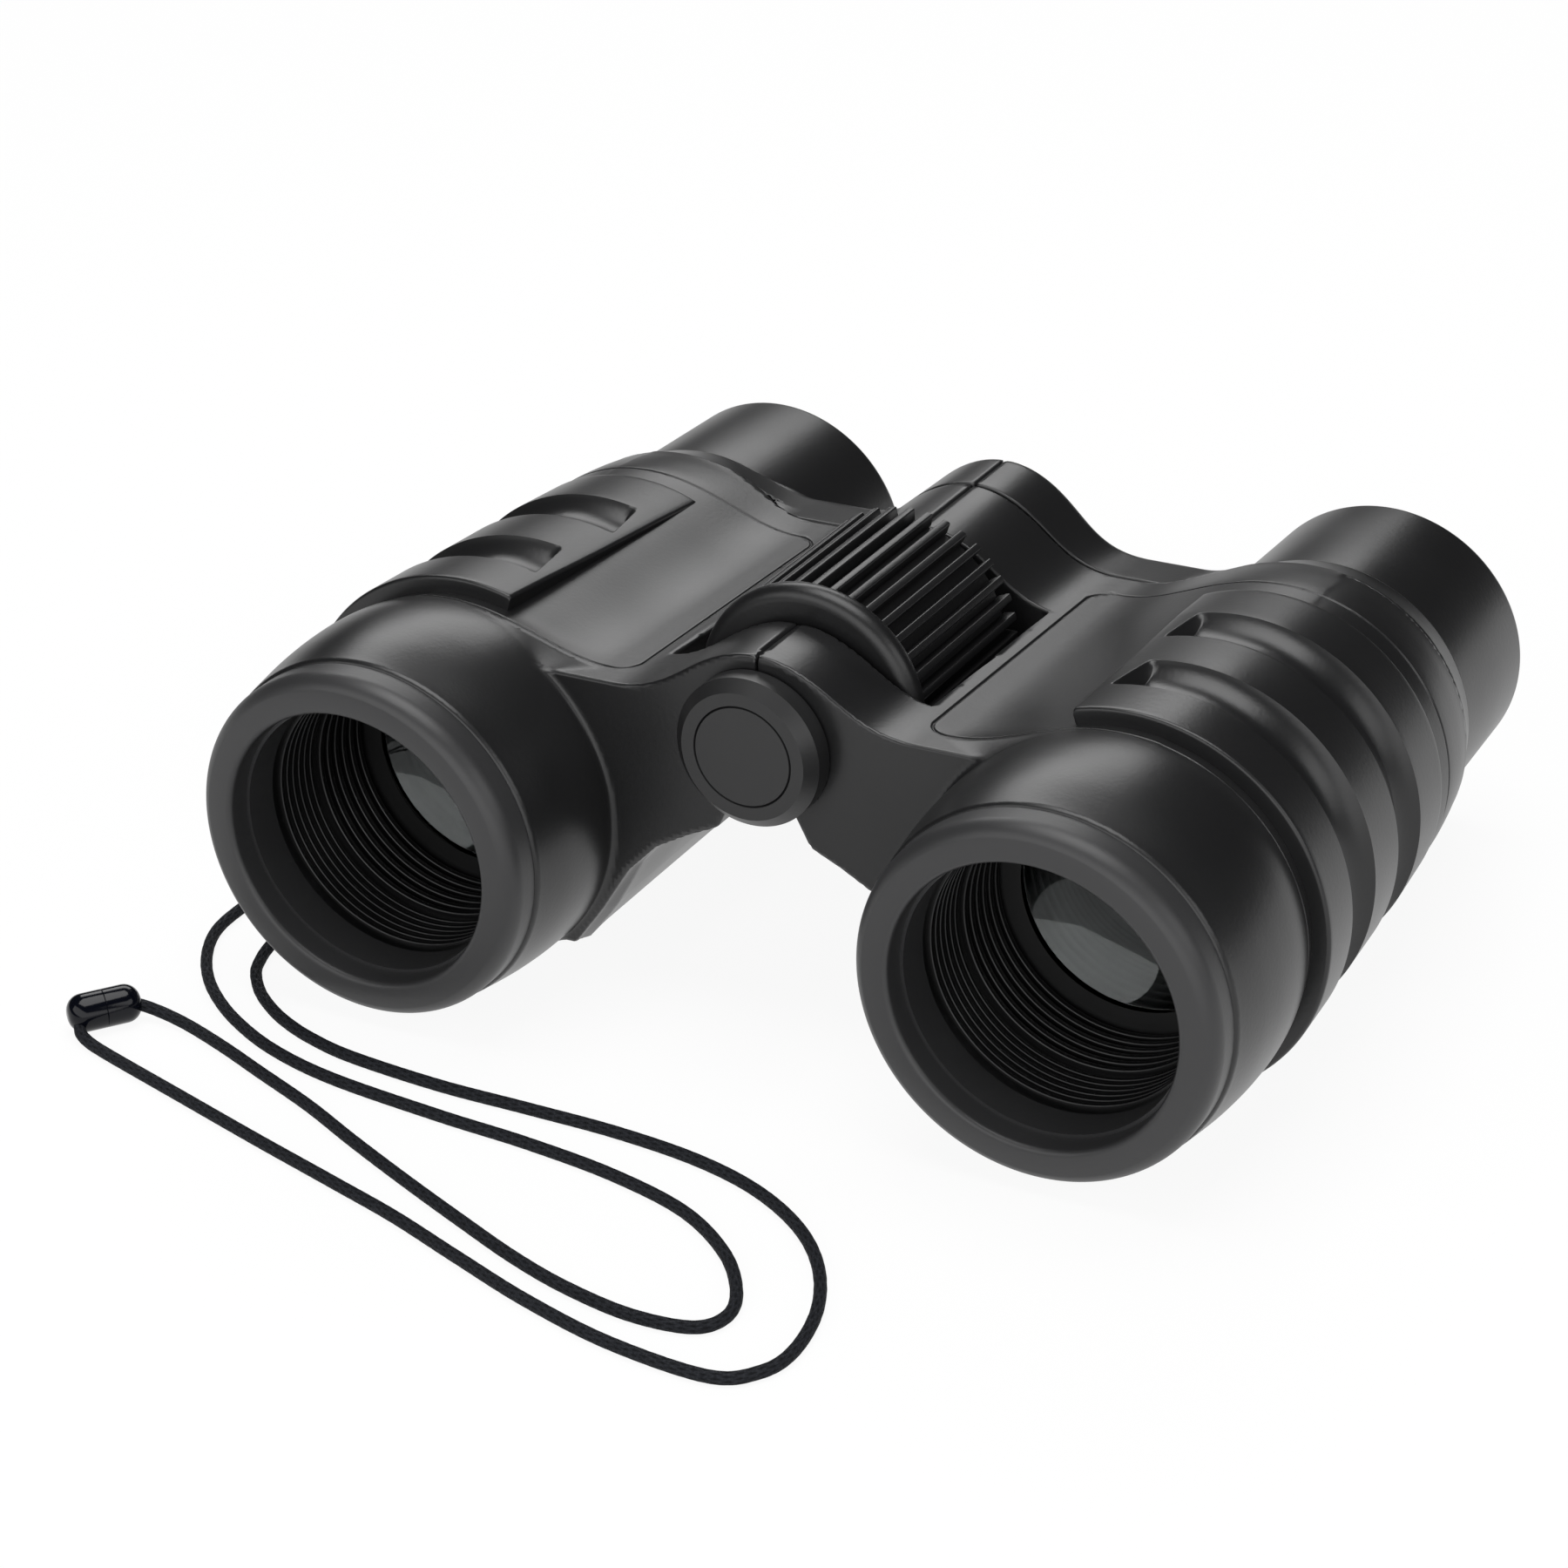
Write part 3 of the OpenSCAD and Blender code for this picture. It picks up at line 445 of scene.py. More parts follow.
def skinOf(rule, low, high, cell):
    # one point in each grid cell that the surface crosses, joined into quads and pulled onto the surface
    low = np.array(low, float)
    counts = np.ceil((np.array(high) - low) / cell).astype(int) + 1
    grid = np.meshgrid(*(low[k] + cell * np.arange(counts[k]) for k in range(3)), indexing="ij")
    value = rule(*grid)
    inside = value < 0
    corners = [(i, j, k) for i in (0, 1) for j in (0, 1) for k in (0, 1)]
    cut = [slice(None, -1), slice(1, None)]
    filled = sum(inside[cut[i], cut[j], cut[k]].astype(np.int8) for i, j, k in corners)
    active = (filled > 0) & (filled < 8)
    cells = np.argwhere(active)
    index = np.full(active.shape, -1)
    index[active] = np.arange(len(cells))
    total, hits = np.zeros((len(cells), 3)), np.zeros(len(cells))
    for start in corners:
        for axis in range(3):
            if start[axis]:
                continue
            end = tuple(1 if k == axis else start[k] for k in range(3))
            a = value[tuple((cells + start).T)]
            b = value[tuple((cells + end).T)]
            crossed = (a < 0) != (b < 0)
            share = np.where(crossed, a / np.where(crossed, a - b, 1), 0)
            place = np.array(start) + share[:, None] * (np.array(end) - start)
            total += np.where(crossed[:, None], place, 0)
            hits += crossed
    points = low + cell * (cells + total / hits[:, None])
    faces = []
    for axis in range(3):
        u, v = (axis + 1) % 3, (axis + 2) % 3
        a = inside[tuple(cut[0] if k == axis else slice(1, -1) for k in range(3))]
        b = inside[tuple(cut[1] if k == axis else slice(1, -1) for k in range(3))]
        edge = np.argwhere(a != b)
        outward = a[tuple(edge.T)]
        home = edge + np.array([0 if k == axis else 1 for k in range(3)])
        ring = []
        for du, dv in ((-1, -1), (0, -1), (0, 0), (-1, 0)):
            near = home.copy()
            near[:, u] += du
            near[:, v] += dv
            ring.append(index[tuple(near.T)])
        ring = np.column_stack(ring)
        ring[~outward] = ring[~outward][:, ::-1]
        faces.append(ring)
    return pullToSurface(rule, points, cell), np.vstack(faces)


# What the body halves and the ocular arms share at the hinge

hingeSpec = {"humpRadius": 8.0, "humpBlend": 7.0, "notchAngle": 26.5, "halfGap": 0.06, "gapEdge": 0.2, "edge": 0.28,
             "knuckle": 6.2, "knuckleGap": 0.3, "margin": 1}


def between(s, start, end):
    return np.maximum(start - s, s - end)


def bridgeTop(x, s, h, spec):
    # distance from the hinge axis, height of the saddle, and the top with its hump over the hinge
    hingeReach = np.hypot(x, h - hingeRise)
    saddle = np.interp(s, spec["saddleStations"], spec["saddleHeights"])
    return hingeReach, saddle, softMin(hingeReach - spec["humpRadius"], h - saddle, spec["humpBlend"])


def clearOfOtherHalf(shape, x, h, spec):
    # a narrow gap at the middle, and below the hinge a slope that leaves room to fold
    angle = math.radians(spec["notchAngle"])
    shape = softMax(shape, spec["halfGap"] - x, spec["gapEdge"])
    return softMax(shape, -(x * math.cos(angle) + (h - hingeRise) * math.sin(angle)), spec["edge"])


def knuckleSpans(side, start, end, spec):
    # own span and the other half's; the left half has the front one
    split, gap = (start + end) / 2, spec["knuckleGap"] / 2
    spans = [(start, split - gap), (split + gap, end)]
    return spans if side == "left" else spans[::-1]


def knuckle(hingeReach, s, span, spec):
    return np.maximum(hingeReach - spec["knuckle"], between(s, *span))


def knuckleRoom(hingeReach, s, span, spec):
    gap = spec["knuckleGap"] / 2
    return np.maximum(hingeReach - spec["knuckle"] - spec["knuckleGap"], between(s, span[0] - gap, span[1] + gap))


def skinBox(spec, start, end, radius):
    margin = spec["margin"]
    low = (-spec["knuckle"] - margin, frontY + start - margin, 0)
    return low, (barrelX + radius + margin, frontY + end + margin, hingeZ + spec["humpRadius"] + 2 * margin)


# Body halves

shellSpec = {
    **hingeSpec, "cell": 0.45,
    "barrelStations": [3.5, 5, 8, 11, 14, 16.5, 18, 19.4, 30, 45, 53, 56.5, 58.7],
    "barrelRadii": [16.5, 16.75, 17.15, 17.35, 17.35, 17.1, 16.7, 16.3, 16.15, 16.1, 16.0, 15.6, 15.2],
    "front": 3.5, "end": 58.72, "hoodBore": 13.8, "hoodEnd": 26.8, "skirtBore": 12.38,
    "bridgeFront": 14.9, "bridgeEnd": 56.1, "slotStart": 22.6, "slotEnd": 45.6, "slotHalf": 12.6,
    "saddleStations": [15, 56], "saddleHeights": [13.3, 11.9],
    "underX": [0, 4.46, 7.5, 11, 14, 17, 20], "underZ": [3.4, 1.4, 0.0, -2.0, -5.0, -9.6, -13.6],
    "blendStations": [15, 17.5], "barrelBlends": [0.7, 4.2], "frontEdge": 0.5, "endEdge": 0.22,
    "pocketRadius": 15.2, "pocketStations": [20.2, 49], "pocketInner": [-14.5, -22], "pocketUnder": 203,
    "pinBore": 2.65, "bushBore": 3.75,
    "grooveFront": 18.0, "grooveEnd": 52.2, "grooveInner": 14.2, "grooveRound": 2.2, "grooveWidth": 0.1,
    "grooveDepth": 0.16, "grooveReach": 0.55, "grooveFade": 4, "grooveClear": 0.8,
    "grooveCuts": 4, "groovePulls": 2,
}
blurSpec = {"steps": 400, "width": 0.9, "reach": 2, "samples": 17}


def panelLine(x, s, spec):
    # distance to the panel's edge, seen from above: a box with round corners, open outboard
    half = (spec["grooveEnd"] - spec["grooveFront"]) / 2
    middle = (spec["grooveEnd"] + spec["grooveFront"]) / 2
    a = spec["grooveInner"] + spec["grooveRound"] - x
    b = np.abs(s - middle) - half + spec["grooveRound"]
    return np.hypot(np.maximum(a, 0), np.maximum(b, 0)) + np.minimum(np.maximum(a, b), 0) - spec["grooveRound"]


def smoothTable(stations, values, blur):
    # the same curve without corners at its stations
    dense = np.linspace(stations[0], stations[-1], blur["steps"])
    shifts = np.linspace(-blur["reach"], blur["reach"], blur["samples"])
    weights = np.exp(-shifts ** 2 / 2)
    curves = (w * np.interp(dense + blur["width"] * k, stations, values) for w, k in zip(weights, shifts))
    return dense, sum(curves) / weights.sum()


def bodyRule(side, spec, withGroove=True):
    barrelTable = smoothTable(spec["barrelStations"], spec["barrelRadii"], blurSpec)
    underSlope = np.gradient(spec["underZ"], spec["underX"])
    slotMiddle = (spec["slotStart"] + spec["slotEnd"]) / 2
    pairs = (spec["bridgeFront"], spec["slotStart"]), (spec["slotEnd"], spec["bridgeEnd"])
    own, other = zip(*(knuckleSpans(side, start, end, spec) for start, end in pairs))

    def rule(x, y, z):
        s, h = y - frontY, z - axisZ
        edge = spec["edge"]
        reach = np.hypot(x - barrelX, h)
        barrel = reach - np.interp(s, *barrelTable)
        barrel = softMax(softMax(barrel, spec["front"] - s, spec["frontEdge"]), s - spec["end"], spec["endEdge"])
        hingeReach, _, top = bridgeTop(x, s, h, spec)
        steep = np.hypot(1, np.interp(x, spec["underX"], underSlope))
        under = (np.interp(x, spec["underX"], spec["underZ"]) - h) / steep
        bridge = clearOfOtherHalf(softMax(top, under, edge), x, h, spec)
        bridge = softMax(softMax(bridge, spec["bridgeFront"] - s, edge), s - spec["bridgeEnd"], edge)
        bridge = np.maximum(bridge, x - barrelX)
        for span in other:
            bridge = np.maximum(bridge, -knuckleRoom(hingeReach, s, span, spec))
        slot = np.maximum(np.abs(x) - spec["slotHalf"], between(s, spec["slotStart"], spec["slotEnd"]))
        blend = np.interp(s, spec["blendStations"], spec["barrelBlends"])
        shell = softMax(softMin(barrel, bridge, blend), -slot, edge)
        for span in own:
            shell = np.minimum(shell, knuckle(hingeReach, s, span, spec))
        bore = reach - np.where(s < spec["hoodEnd"], spec["hoodBore"], spec["skirtBore"])
        pin = hingeReach - np.where(s < slotMiddle, spec["pinBore"], spec["bushBore"])
        shell = np.maximum(np.maximum(shell, -bore), -pin)
        turn = (np.degrees(np.arctan2(x - barrelX, h)) + 90) % 360 - 90
        inner = np.interp(s, spec["pocketStations"], spec["pocketInner"])
        sides = np.maximum(inner - turn, turn - spec["pocketUnder"]) * math.radians(1) * reach
        pocket = np.maximum(spec["pocketRadius"] - reach, np.maximum(sides, between(s, *spec["pocketStations"])))
        shell = np.maximum(shell, -pocket)
        if withGroove:
            line = panelLine(x, s, spec)
            above = np.clip((h + spec["grooveFade"]) / spec["grooveFade"], 0, 1)
            shell = shell + above * spec["grooveDepth"] * np.exp(-(line / spec["grooveWidth"]) ** 2)
        return shell

    return rule


def refineAlong(points, faces, distance, reach, cuts):
    # faces near a line get smaller ones, so that the line can be cut into them
    mesh = bpy.data.meshes.new("refineAlong")
    mesh.from_pydata(points.tolist(), [], faces.tolist())
    work = bmesh.new()
    work.from_mesh(mesh)
    near = [distance(*vertex.co) < reach for vertex in work.verts]
    work.verts.index_update()
    edges = [e for e in work.edges if near[e.verts[0].index] and near[e.verts[1].index]]
    bmesh.ops.subdivide_edges(work, edges=edges, cuts=cuts, use_grid_fill=True)
    work.verts.index_update()
    points = np.array([vertex.co for vertex in work.verts])
    faces = [[vertex.index for vertex in face.verts] for face in work.faces]
    work.free()
    bpy.data.meshes.remove(mesh)
    return points, faces


def unitNormals(rule, points):
    slope = slopeAt(rule, points)
    return slope / np.linalg.norm(slope, axis=1)[:, None]


def onSide(side, points, normals, faces):
    if side == "right":
        return points, normals, faces
    mirror = np.array((-1, 1, 1))
    return points * mirror, normals * mirror, [list(face)[::-1] for face in faces]


def addRuledPiece(name, side, rule, points, faces):
    points, normals, faces = onSide(side, points, unitNormals(rule, points), faces)
    piece = addPiece(name, points, [list(face) for face in faces], finish["body"], normals=normals)
    print(name, len(faces), "faces")
    return piece


def addShell(side, spec):
    plain = bodyRule(side, spec, withGroove=False)
    grooved = bodyRule(side, spec)
    box = skinBox(spec, spec["front"], spec["end"], max(spec["barrelRadii"]))
    points, faces = skinOf(plain, *box, spec["cell"])

    def distance(x, y, z):
        outside = math.hypot(x - barrelX, z - axisZ) > spec["hoodBore"] + spec["grooveClear"]
        above = z > axisZ - spec["grooveFade"]
        return abs(panelLine(np.float64(x), y - frontY, spec)) if outside and above else math.inf

    points, faces = refineAlong(points, faces, distance, spec["grooveReach"], spec["grooveCuts"])
    points = pullToSurface(plain, points, spec["cell"], spec["groovePulls"])
    points = points - unitNormals(plain, points) * (grooved(*points.T) - plain(*points.T))[:, None]
    shell = addRuledPiece(side + "Shell", side, grooved, points, faces)
    settle(shell, side + "_half", "body_shell", side + "_body_shell")


for side in sideSigns:
    addShell(side, shellSpec)


# Ocular arms with their collars

armSpec = {
    **hingeSpec, "cell": 0.36, "start": 56.4, "end": 63.6,
    "saddleStations": [56, 64], "saddleHeights": [11.9, 10.9], "depth": 5.0,
    "collarStart": 58.8, "collarEnd": 62.7, "collarRadii": [15.15, 13.95], "tubeRadius": 13.8,
    "bore": 12.3, "barrelClear": 15.72, "clearEdge": 0.2, "rearEdge": 1.4, "blend": 2.5,
}


def armRule(side, spec):
    own, other = knuckleSpans(side, spec["start"], spec["end"], spec)

    def rule(x, y, z):
        s, h = y - frontY, z - axisZ
        edge = spec["edge"]
        reach = np.hypot(x - barrelX, h)
        hingeReach, saddle, top = bridgeTop(x, s, h, spec)
        arm = clearOfOtherHalf(softMax(top, saddle - spec["depth"] - h, edge), x, h, spec)
        arm = softMax(softMax(arm, spec["start"] - s, edge), s - spec["end"], spec["rearEdge"])
        arm = np.maximum(arm, x - barrelX)
        arm = np.maximum(arm, -knuckleRoom(hingeReach, s, other, spec))
        arm = np.minimum(arm, knuckle(hingeReach, s, own, spec))
        barrelRoom = np.maximum(reach - spec["barrelClear"], s - spec["collarStart"])
        arm = softMax(arm, -barrelRoom, spec["clearEdge"])
        radius = np.interp(s, (spec["collarStart"], spec["collarEnd"]), spec["collarRadii"])
        collar = softMax(softMax(reach - radius, spec["collarStart"] - s, edge), s - spec["collarEnd"], edge)
        shape = np.maximum(softMin(arm, collar, spec["blend"]), -barrelRoom)
        return np.maximum(shape, np.where(s < spec["collarEnd"], spec["bore"], spec["tubeRadius"]) - reach)

    return rule


for side in sideSigns:
    rule = armRule(side, armSpec)
    box = skinBox(armSpec, armSpec["start"], armSpec["end"], armSpec["collarRadii"][0])
    arm = addRuledPiece(side + "OcularArm", side, rule, *skinOf(rule, *box, armSpec["cell"]))
    settle(arm, side + "_ocular", "body_shell", side + "_ocular_arm")


# Finger grips

gripSpec = {
    "front": 19.4, "end": 49.8, "stations": [19.4, 25.5, 31.5, 37.5, 43.5, 49.8],
    "radii": [18.0, 17.7, 17.3, 17.0, 16.75, 16.3], "root": 14.6,
    "innerFront": -17.0, "innerEnd": -24.5, "under": 205.0, "edge": 0.35,
    "scallops": [28.1, 40.2], "scallopRadius": 3.8, "scallopDepths": [1.6, 1.4],
    "scallopInset": 1.8, "scallopTilt": 0.2, "scallopWall": 0.6, "scallopEnd": 150.0, "scallopFade": 12,
    "scallopGrowth": 0.3, "growthStart": 10, "growthSpan": 50, "meanRadius": 17, "sharpAngle": 50,
    "alongSteps": 70, "scallopSteps": 41, "scallopLip": 0.1, "scallopClear": 0.2,
    "acrossSteps": 150, "wallSteps": 31, "wallHalf": 1, "wallClear": 1.1, "rimSteps": 6,
}


def edgeSpots(total, count, spec):
    # spots across a width, closer together at both rounded edges
    edge = spec["edge"]
    rim = edge * (1 - np.cos(np.linspace(0, math.pi / 2, spec["rimSteps"])))[:-1]
    return np.concatenate([rim, np.linspace(edge, total - edge, count), (total - rim)[::-1]])


def addGrip(side, spec):
    length = spec["end"] - spec["front"]
    bow = spec["scallopRadius"]
    cuts = [(centre, depth, math.sqrt(bow ** 2 - (bow - depth) ** 2))
            for centre, depth in zip(spec["scallops"], spec["scallopDepths"])]
    along = edgeSpots(length, spec["alongSteps"], spec)
    for centre, _, half in cuts:
        middle = centre - spec["front"]
        along = along[np.abs(along - middle) > half + spec["scallopClear"]]
        dense = half * np.linspace(-1, 1, spec["scallopSteps"])
        lips = (half + spec["scallopLip"]) * np.array([-1, 1])
        along = np.concatenate([along, middle + dense, middle + lips])
    along = np.sort(along)
    width = math.radians(spec["under"] - spec["innerFront"]) * spec["meanRadius"]
    across = edgeSpots(width, spec["acrossSteps"], spec)
    across = across[np.abs(across - spec["scallopInset"]) > spec["wallClear"]]
    dense = np.linspace(-spec["wallHalf"], spec["wallHalf"], spec["wallSteps"])
    across = np.sort(np.concatenate([across, spec["scallopInset"] + dense]))
    s = spec["front"] + along
    inner = spec["innerFront"] + (spec["innerEnd"] - spec["innerFront"]) * along / length
    angle = inner[:, None] + (spec["under"] - inner[:, None]) * (across / width)[None, :]
    radius = np.repeat(np.interp(s, spec["stations"], spec["radii"])[:, None], len(across), 1)
    outset = (spec["scallopEnd"] - angle) * math.radians(1) * spec["meanRadius"]
    growth = 1 + spec["scallopGrowth"] * np.clip((angle - spec["growthStart"]) / spec["growthSpan"], 0, 1)
    for centre, depth, half in cuts:
        near = np.abs(s - centre) < half
        dip = np.where(near, np.sqrt(np.maximum(bow ** 2 - (s - centre) ** 2, 0)) - bow + depth, 0)
        inset = across[None, :] - spec["scallopInset"] - spec["scallopTilt"] * (s - centre)[:, None]
        wall = np.clip(np.minimum(inset / spec["scallopWall"], outset / spec["scallopFade"]), 0, 1)
        radius -= dip[:, None] * wall * growth
    edge = spec["edge"]
    for spots, total, axis in ((along, length, 1), (across, width, 0)):
        near = np.minimum(np.minimum(spots, total - spots), edge)
        drop = edge - np.sqrt(np.maximum(edge ** 2 - (edge - near) ** 2, 0))
        radius -= np.expand_dims(drop, axis)
    turn = np.radians(angle)
    rows, columns = angle.shape

    def sheet(r):
        x = barrelX + r * np.sin(turn)
        z = np.maximum(axisZ + r * np.cos(turn), 0)
        return np.stack([x, np.repeat((frontY + s)[:, None], columns, 1), z], -1).reshape(-1, 3)

    points = np.vstack([sheet(radius), sheet(np.full_like(radius, spec["root"]))])
    spot = np.arange(rows * columns).reshape(rows, columns).tolist()
    base = rows * columns
    faces = []
    for near, far in zip(spot, spot[1:]):
        for j in range(columns - 1):
            quad = (near[j], far[j], far[j + 1], near[j + 1])
            faces += [quad, tuple(base + k for k in quad[::-1])]
    rim = (spot[0] + [row[-1] for row in spot[1:]] + spot[-1][-2::-1] + [row[0] for row in spot[-2:0:-1]])
    faces += [(b, a, base + a, base + b)[::-1] for a, b in zip(rim, rim[1:] + rim[:1])]
    if side == "left":
        points = points * np.array((-1, 1, 1))
        faces = [face[::-1] for face in faces]
    grip = addPiece(side + "Grip", points, faces, finish["grip"], sharpAngle=spec["sharpAngle"])
    settle(grip, side + "_half", "finger_grip", side + "_finger_grip")


for side in sideSigns:
    addGrip(side, gripSpec)
print("finger grips done")


# Turned pieces on the barrel axes

bezelSpec = {"radius": 16.3, "length": 3.5, "flat": [13.45, 15.12], "crease": 20, "roundDepth": 1.8,
             "lip": 12.9, "lipDepth": 0.55, "lipEnd": 2.5, "opening": 12.6, "bore": 13.8, "spigotEnd": 6.0,
             "rimSteps": 14, "lipSteps": 8, "steps": 200}
hoodSpec = {"bore": 13.8, "opening": 12.6, "start": 6.0, "coneStart": 19.6, "coneEnd": 20.0, "coneRadius": 10.4,
            "ringStart": 7.2, "ringCount": 6, "ringPitch": 0.9, "ringHeight": 0.3, "widthShare": 0.5,
            "ridgeStart": 12.9, "ridgeCount": 6, "ridgePitch": 1.2, "ridgeHeight": 0.6}
lensSpec = {"front": 20.0, "back": 21.6, "crown": 0.6, "rearCrown": 1.8, "radius": 10.4, "rim": 13.8,
            "crownSteps": 17}
eyeSpec = {"skirtStart": 40.5, "skirtRadius": 12.3, "tubeStart": 62.78, "tubeRadii": [13.8, 13.4], "end": 78.5,
           "round": 0.8, "chamfer": 0.15, "seat": 11.6, "seatRound": 0.4, "seatSteps": 4, "bore": 10.8,
           "lensStart": 70.5, "steps": 200}


def bezelOutline(spec):
    inner, outer = spec["flat"]
    turns = np.radians(np.linspace(spec["crease"], 90, spec["rimSteps"]))
    swell = (spec["radius"] - outer) / (1 - math.sin(turns[0]))
    depth = spec["roundDepth"] / math.cos(turns[0])
    rim = [(spec["radius"] - swell * (1 - math.sin(t)), spec["roundDepth"] - depth * math.cos(t)) for t in turns]
    lip = [(inner - (inner - spec["lip"]) * math.sin(t), spec["lipDepth"] * (1 - math.cos(t)))
           for t in np.radians(np.linspace(90, 0, spec["lipSteps"]))]
    return ([(spec["opening"], spec["spigotEnd"]), (spec["opening"], spec["lipEnd"]), (spec["lip"], spec["lipEnd"])]
            + lip + rim + [(spec["radius"], spec["length"]), (spec["bore"], spec["length"]),
                           (spec["bore"], spec["spigotEnd"])])


def lensOutline(spec):
    shares = np.sin(np.radians(np.linspace(0, 90, spec["crownSteps"])))
    front = [(spec["radius"] * q, spec["front"] - spec["crown"] * (1 - q * q)) for q in shares]
    back = [(spec["radius"] * q, spec["back"] + spec["rearCrown"] * (1 - q * q)) for q in shares[::-1]]
    return front + [(spec["rim"], spec["front"]), (spec["rim"], spec["back"])] + back


def eyepieceOutline(spec):
    front, rear = spec["tubeRadii"]
    start, end, bow, seatBow = spec["tubeStart"], spec["end"], spec["round"], spec["seatRound"]
    return ([(spec["bore"], spec["skirtStart"]), (spec["skirtRadius"], spec["skirtStart"]),
             (spec["skirtRadius"], start), (front - spec["chamfer"], start), (front, start + spec["chamfer"])]
            + arcPoints((rear - bow, end - bow), bow, 0, 90)
            + arcPoints((spec["seat"] + seatBow, end - seatBow), seatBow, 90, 180, spec["seatSteps"])
            + [(spec["seat"], spec["lensStart"]), (spec["bore"], spec["lensStart"])])


def hoodOutline(spec):
    return [(spec["bore"], spec["start"]), (spec["opening"], spec["start"]), (spec["opening"], spec["coneStart"]),
            (spec["coneRadius"], spec["coneEnd"]), (spec["bore"], spec["coneEnd"])]


def nodeTree(name, sockets):
    tree = bpy.data.node_groups.new(name, "GeometryNodeTree")
    tree.interface.new_socket("Geometry", in_out="INPUT", socket_type="NodeSocketGeometry")
    for label, kind in sockets:
        tree.interface.new_socket(label, in_out="INPUT", socket_type=kind)
    tree.interface.new_socket("Geometry", in_out="OUTPUT", socket_type="NodeSocketGeometry")
    return tree, tree.nodes.new("NodeGroupInput"), tree.nodes.new("NodeGroupOutput")


def bakeNodes(piece, tree, values):
    # runs the tree on the piece and keeps the result as a plain mesh
    modifier = piece.modifiers.new(tree.name, "NODES")
    modifier.node_group = tree
    for item in tree.interface.items_tree:
        if item.in_out == "INPUT" and item.name in values:
            modifier[item.identifier] = values[item.name]
    graph = bpy.context.evaluated_depsgraph_get()
    mesh = bpy.data.meshes.new_from_object(piece.evaluated_get(graph), depsgraph=graph)
    piece.modifiers.remove(modifier)
    old, piece.data = piece.data, mesh
    mesh.name = piece.name
    bpy.data.meshes.remove(old)
    return piece


def roundedProfile(tree, width, height, cornerBase, cornerShare, cornerSteps=3):
    # rectangle with corners rounded by a share of one of its sides
    profile = tree.nodes.new("GeometryNodeCurvePrimitiveQuadrilateral")
    tree.links.new(width, profile.inputs["Width"])
    tree.links.new(height, profile.inputs["Height"])
    rounded = tree.nodes.new("GeometryNodeFilletCurve")
    rounded.mode = "POLY"
    rounded.inputs["Count"].default_value = cornerSteps
    rounded.inputs["Limit Radius"].default_value = True
    tree.links.new(mathNode(tree, "MULTIPLY", cornerBase, cornerShare), rounded.inputs["Radius"])
    tree.links.new(profile.outputs["Curve"], rounded.inputs["Curve"])
    return rounded.outputs["Curve"]


def joinAndPaint(tree, source, sink, added):
    # the piece and what was added to it become one mesh with one finish
    together = tree.nodes.new("GeometryNodeJoinGeometry")
    for part in (source.outputs["Geometry"], added):
        tree.links.new(part, together.inputs["Geometry"])
    real = tree.nodes.new("GeometryNodeRealizeInstances")
    paint = tree.nodes.new("GeometryNodeSetMaterial")
    tree.links.new(together.outputs["Geometry"], real.inputs["Geometry"])
    tree.links.new(real.outputs["Geometry"], paint.inputs["Geometry"])
    tree.links.new(source.outputs["Finish"], paint.inputs["Material"])
    tree.links.new(paint.outputs["Geometry"], sink.inputs["Geometry"])


def ringTree(hoopSteps=160, cornerShare=0.3):
    # rings of one profile, set at a pitch along the barrel axis
    tree, source, sink = nodeTree("hoodRings", [
        ("Count", "NodeSocketInt"), ("Pitch", "NodeSocketFloat"), ("Start", "NodeSocketVector"),
        ("Radius", "NodeSocketFloat"), ("Height", "NodeSocketFloat"), ("Width", "NodeSocketFloat"),
        ("Finish", "NodeSocketMaterial")])
    new, link = tree.nodes.new, tree.links.new
    row = new("GeometryNodeMeshLine")
    step = new("ShaderNodeCombineXYZ")
    link(source.outputs["Count"], row.inputs["Count"])
    link(source.outputs["Start"], row.inputs["Start Location"])
    link(source.outputs["Pitch"], step.inputs["Y"])
    link(step.outputs[0], row.inputs["Offset"])
    hoop = new("GeometryNodeCurvePrimitiveCircle")
    hoop.inputs["Resolution"].default_value = hoopSteps
    link(source.outputs["Radius"], hoop.inputs["Radius"])
    turn = new("GeometryNodeTransform")
    turn.inputs["Rotation"].default_value = (math.pi / 2, 0, 0)
    link(hoop.outputs["Curve"], turn.inputs["Geometry"])
    height, width = source.outputs["Height"], source.outputs["Width"]
    ring = new("GeometryNodeCurveToMesh")
    link(turn.outputs["Geometry"], ring.inputs["Curve"])
    link(roundedProfile(tree, height, width, width, cornerShare), ring.inputs["Profile Curve"])
    rings = new("GeometryNodeInstanceOnPoints")
    link(row.outputs["Mesh"], rings.inputs["Points"])
    link(ring.outputs["Mesh"], rings.inputs["Instance"])
    joinAndPaint(tree, source, sink, rings.outputs["Instances"])
    return tree


hoodRings = ringTree()


def addHood(side, x, spec):
    hood = addPiece(side + "Hood", *placed(turned(hoodOutline(spec)), x, axisZ), finish["hood"])
    for kind in ("ring", "ridge"):
        bakeNodes(hood, hoodRings, {
            "Count": spec[kind + "Count"], "Pitch": spec[kind + "Pitch"] * mm,
            "Start": (x * mm, (frontY + spec[kind + "Start"]) * mm, axisZ * mm),
            "Radius": spec["opening"] * mm, "Height": 2 * spec[kind + "Height"] * mm,
            "Width": spec[kind + "Pitch"] * spec["widthShare"] * mm, "Finish": finish["hood"]})
    settle(hood, side + "_half", "hood_black", side + "_baffle_tube")


